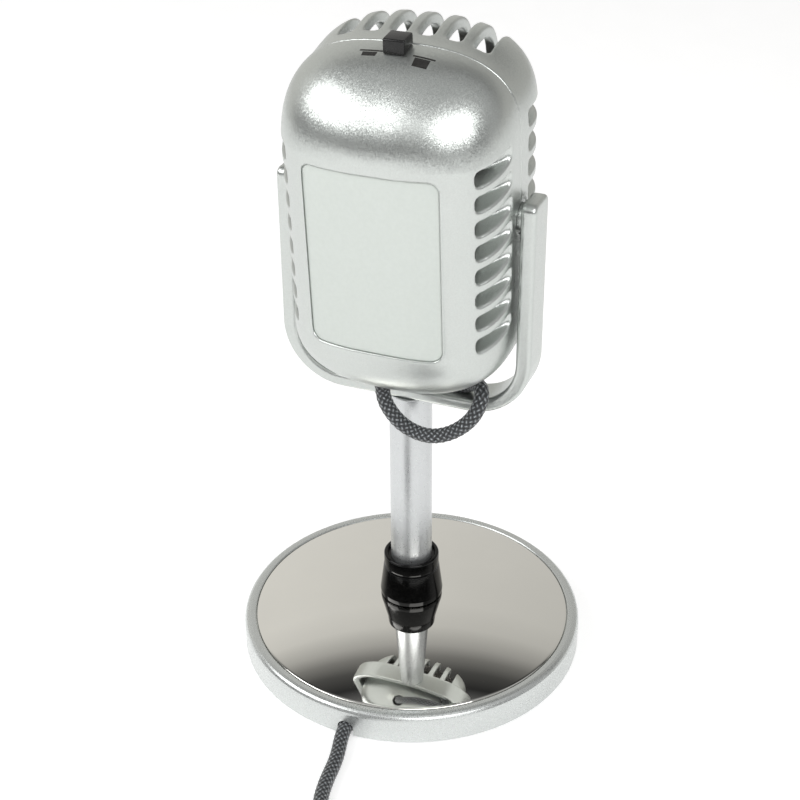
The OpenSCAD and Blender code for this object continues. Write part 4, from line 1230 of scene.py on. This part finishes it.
# ------------------------------------------------------------------ foam behind the slots
def foam(name, P, dirn, y, node, body="head"):
    nu, nv = ((120, 44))
    rng = np.random.RandomState(7)
    V = []
    us = np.linspace(0, 2 * math.pi, nu, endpoint=False)
    vs = np.linspace(1.0, 0.06, nv)
    for v in vs:
        s = math.sin(v * math.pi / 2)
        for u in us:
            cu, su = math.cos(u), math.sin(u)
            top = su >= 0
            n = P[7] + (P[6] - P[7]) * s if top else P[8]
            rr = (abs(cu) ** n + abs(su) ** n) ** (-1 / n)
            mm = P[9] + (P[10] - P[9]) * su if top else P[9] + (P[11] - P[9]) * (-su)
            yy = P[1] * max(0, 1 - s ** mm) ** (1 / mm)
            z = P[3] + (P[2] - P[3]) * s * su * rr if top else P[4] + (P[4] - P[5]) * s * su * rr
            V.append((P[0] * s * cu * rr, y + dirn * yy, z))
    V = np.array(V)
    V += rng.normal(0, 0.09, V.shape)
    F = []
    for i in range(nv - 1):
        for j in range(nu):
            k = (j + 1) % nu
            F.append((i * nu + j, i * nu + k, (i + 1) * nu + k, (i + 1) * nu + j))
    F.append(tuple((nv - 1) * nu + j for j in range(nu)))
    n0 = len(V)
    # inner skin
    c = np.array([0, y, -3.0])
    W = (V - c) * np.array([0.88, 0.84, 0.92]) + c
    W[:nu, 1] = y
    V = np.vstack([V, W])
    F += [tuple(n0 + q for q in reversed(f)) for f in F]
    for j in range(nu):
        k = (j + 1) % nu
        F.append((k, j, n0 + j, n0 + k))
    ob = make(name, head_world(V), F, FOAM, body, "dark_foam", (node,), smooth=False)
    bm = bmesh.new()
    bm.from_mesh(ob.data)
    bmesh.ops.recalc_face_normals(bm, faces=bm.faces)
    bm.to_mesh(ob.data)
    bm.free()
    return ob


foam("foam_pad_rear", [HEAD_A - 7.2, REAR_B - 6, 30, 12, -24, -42, 2.6, 2.4, 2.6, 3.4, 3, 3.4], 1, SEAM + 0.1, "foam_rear")
foam("foam_pad_front", [HEAD_A - 5.2, FRONT_B - 3.6, 39.2, 14, -26, -43.6, 2.6, 2.4, 2.6, 3.4, 4.4, 3], -1, SEAM - 0.2, "foam_front")

# ------------------------------------------------------------------ CAD nodes that stay, with their finish
for node, mat in {
    "base_weight": IRON, "base_bottom_cover": MATTE, "base_foot_pads": RUBBER, "base_cover_screws": STEEL, "base_cord_clamp": MATTE,
    "base_clamp_screws": STEEL, "stem_flange": STEEL, "stem_flange_screws": STEEL, "yoke_spigot": STEEL, "pivot_pins": STEEL,
    "shell_screws": STEEL, "pivot_bushes": SILVER, "pivot_washers": SILVER, "mic_capsule": CAPS, "capsule_boot": RUBBER,
    "capsule_bracket": MATTE, "switch_body": CAPS, "switch_board": GREEN, "switch_board_screws": STEEL,
    "head_cord_knot": NYLON, "head_wires": WIRE, "cord_in_stem": BRAID,
}.items():
    ob = frame["nodes"][node]
    if not ob.data.materials:
        ob.data.materials.append(mat)
    for s in ob.material_slots:
        s.material = mat

# ------------------------------------------------------------------ floor, light
bpy.context.scene.view_settings.view_transform = "Standard"
bpy.context.scene.view_settings.look = "None"
me = bpy.data.meshes.new("floor")
me.from_pydata([(-3, -3, 0), (3, -3, 0), (3, 3, 0), (-3, 3, 0)], [], [(0, 1, 2, 3)])
fm, nt, b = new_mat("floor_white")
nz = noise(nt, coords(nt), 40.0)
nt.links.new(ramp(nt, nz, [(0.3, (0.80, 0.80, 0.80)), (0.7, (0.82, 0.82, 0.82))]), b.inputs["Base Color"])
b.inputs["Roughness"].default_value = 0.9
sock(b, "Specular IOR Level", 0.0)
b.inputs["Emission Color"].default_value = (1, 1, 1, 1)
b.inputs["Emission Strength"].default_value = 0.45
me.materials.append(fm)
floor = bpy.data.objects.new("floor", me)
bpy.context.scene.collection.objects.link(floor)

world = bpy.data.worlds.new("studio")
bpy.context.scene.world = world
world.use_nodes = True
nt = world.node_tree
nt.nodes.clear()
out = N(nt, "ShaderNodeOutputWorld")
bg = N(nt, "ShaderNodeBackground")
white = N(nt, "ShaderNodeBackground")
white.inputs["Color"].default_value = (1, 1, 1, 1)
white.inputs["Strength"].default_value = 1.0
lp = N(nt, "ShaderNodeLightPath")
mixs = N(nt, "ShaderNodeMixShader")
tc = N(nt, "ShaderNodeTexCoord")
sp = N(nt, "ShaderNodeSeparateXYZ")
nt.links.new(tc.outputs["Generated"], sp.inputs[0])


def g(v, warm=0.0):
    return (v, v * (1 - 0.1 * warm), v * (1 - 0.4 * warm))


upz = maprange(nt, sp.outputs[2], 0, 1, 0, 1)
# behind the camera: a dark room below the lamps
near = ramp(nt, upz, [(0.0, g(0.055)), (0.25, g(0.07)), (0.40, g(0.27)), (0.80, g(0.34)), (0.90, g(0.42)), (1.0, g(0.44))])
# beyond the object: a pale warm backdrop, a dark gap above it, then the ceiling
# angle above the horizon in the vertical plane square to the backdrop, 0 to 1 for 0 to 90 degrees
dotf = N(nt, "ShaderNodeVectorMath", operation="DOT_PRODUCT")
nt.links.new(tc.outputs["Generated"], dotf.inputs[0])
dotf.inputs[1].default_value = (0.380, -0.925, 0.0)
ang = N(nt, "ShaderNodeMath", operation="ARCTAN2")
nt.links.new(sp.outputs[2], ang.inputs[0])
nt.links.new(dotf.outputs["Value"], ang.inputs[1])
lift = maprange(nt, ang.outputs[0], 0, math.pi / 2, 0, 1)
far = ramp(nt, lift, [(0.0, g(0.61, 0.15)), (0.47, g(0.62, 0.15)), (0.55, g(0.56, 0.15)), (0.61, g(0.37, 0.15)), (0.645, g(0.19, 0.15)), (0.685, g(0.07, 0.1)),
                      (0.73, g(0.025)), (0.78, g(0.16)), (0.84, g(0.42)), (1.0, g(0.52))])
side = ramp(nt, maprange(nt, sp.outputs[0], -0.2, 0.6, 0, 1), [(0.0, (0.88, 0.88, 0.88)), (1.0, (1.16, 1.16, 1.16))])
farx = N(nt, "ShaderNodeMix", data_type="RGBA", blend_type="MULTIPLY")
farx.inputs["Factor"].default_value = 1.0
nt.links.new(far, farx.inputs["A"])
nt.links.new(side, farx.inputs["B"])
far = farx.outputs["Result"]
fy = maprange(nt, sp.outputs[1], -0.20, 0.20, 0, 1)
mixc = N(nt, "ShaderNodeMix", data_type="RGBA")
nt.links.new(fy, mixc.inputs["Factor"])
nt.links.new(far, mixc.inputs["A"])
nt.links.new(near, mixc.inputs["B"])
nt.links.new(mixc.outputs["Result"], bg.inputs["Color"])
bg.inputs["Strength"].default_value = 1.0
nt.links.new(lp.outputs["Is Camera Ray"], mixs.inputs[0])
nt.links.new(bg.outputs[0], mixs.inputs[1])
nt.links.new(white.outputs[0], mixs.inputs[2])
nt.links.new(mixs.outputs[0], out.inputs[0])

T = Vector((0, 0, 0.15))


def softbox(name, az, elv, dist, w, h, radiance):
    """az from +Y towards +X, in degrees"""
    a, e = math.radians(az), math.radians(elv)
    d = Vector((math.sin(a) * math.cos(e), math.cos(a) * math.cos(e), math.sin(e)))
    ld = bpy.data.lights.new(name, "AREA")
    ld.shape = "RECTANGLE"
    ld.size, ld.size_y = w, h
    ld.energy = radiance * math.pi * w * h
    ob = bpy.data.objects.new(name, ld)
    bpy.context.scene.collection.objects.link(ob)
    ob.location = T + d * dist
    ob.rotation_euler = d.to_track_quat("Z", "Y").to_euler()
    return ob


softbox("box_left", 54, 38, 1.3, 1.0, 0.62, 4.3)
softbox("box_right", -40, 35, 1.3, 1.0, 0.70, 4.3)
softbox("box_mid", 6, 38, 1.35, 0.8, 0.32, 0.9)
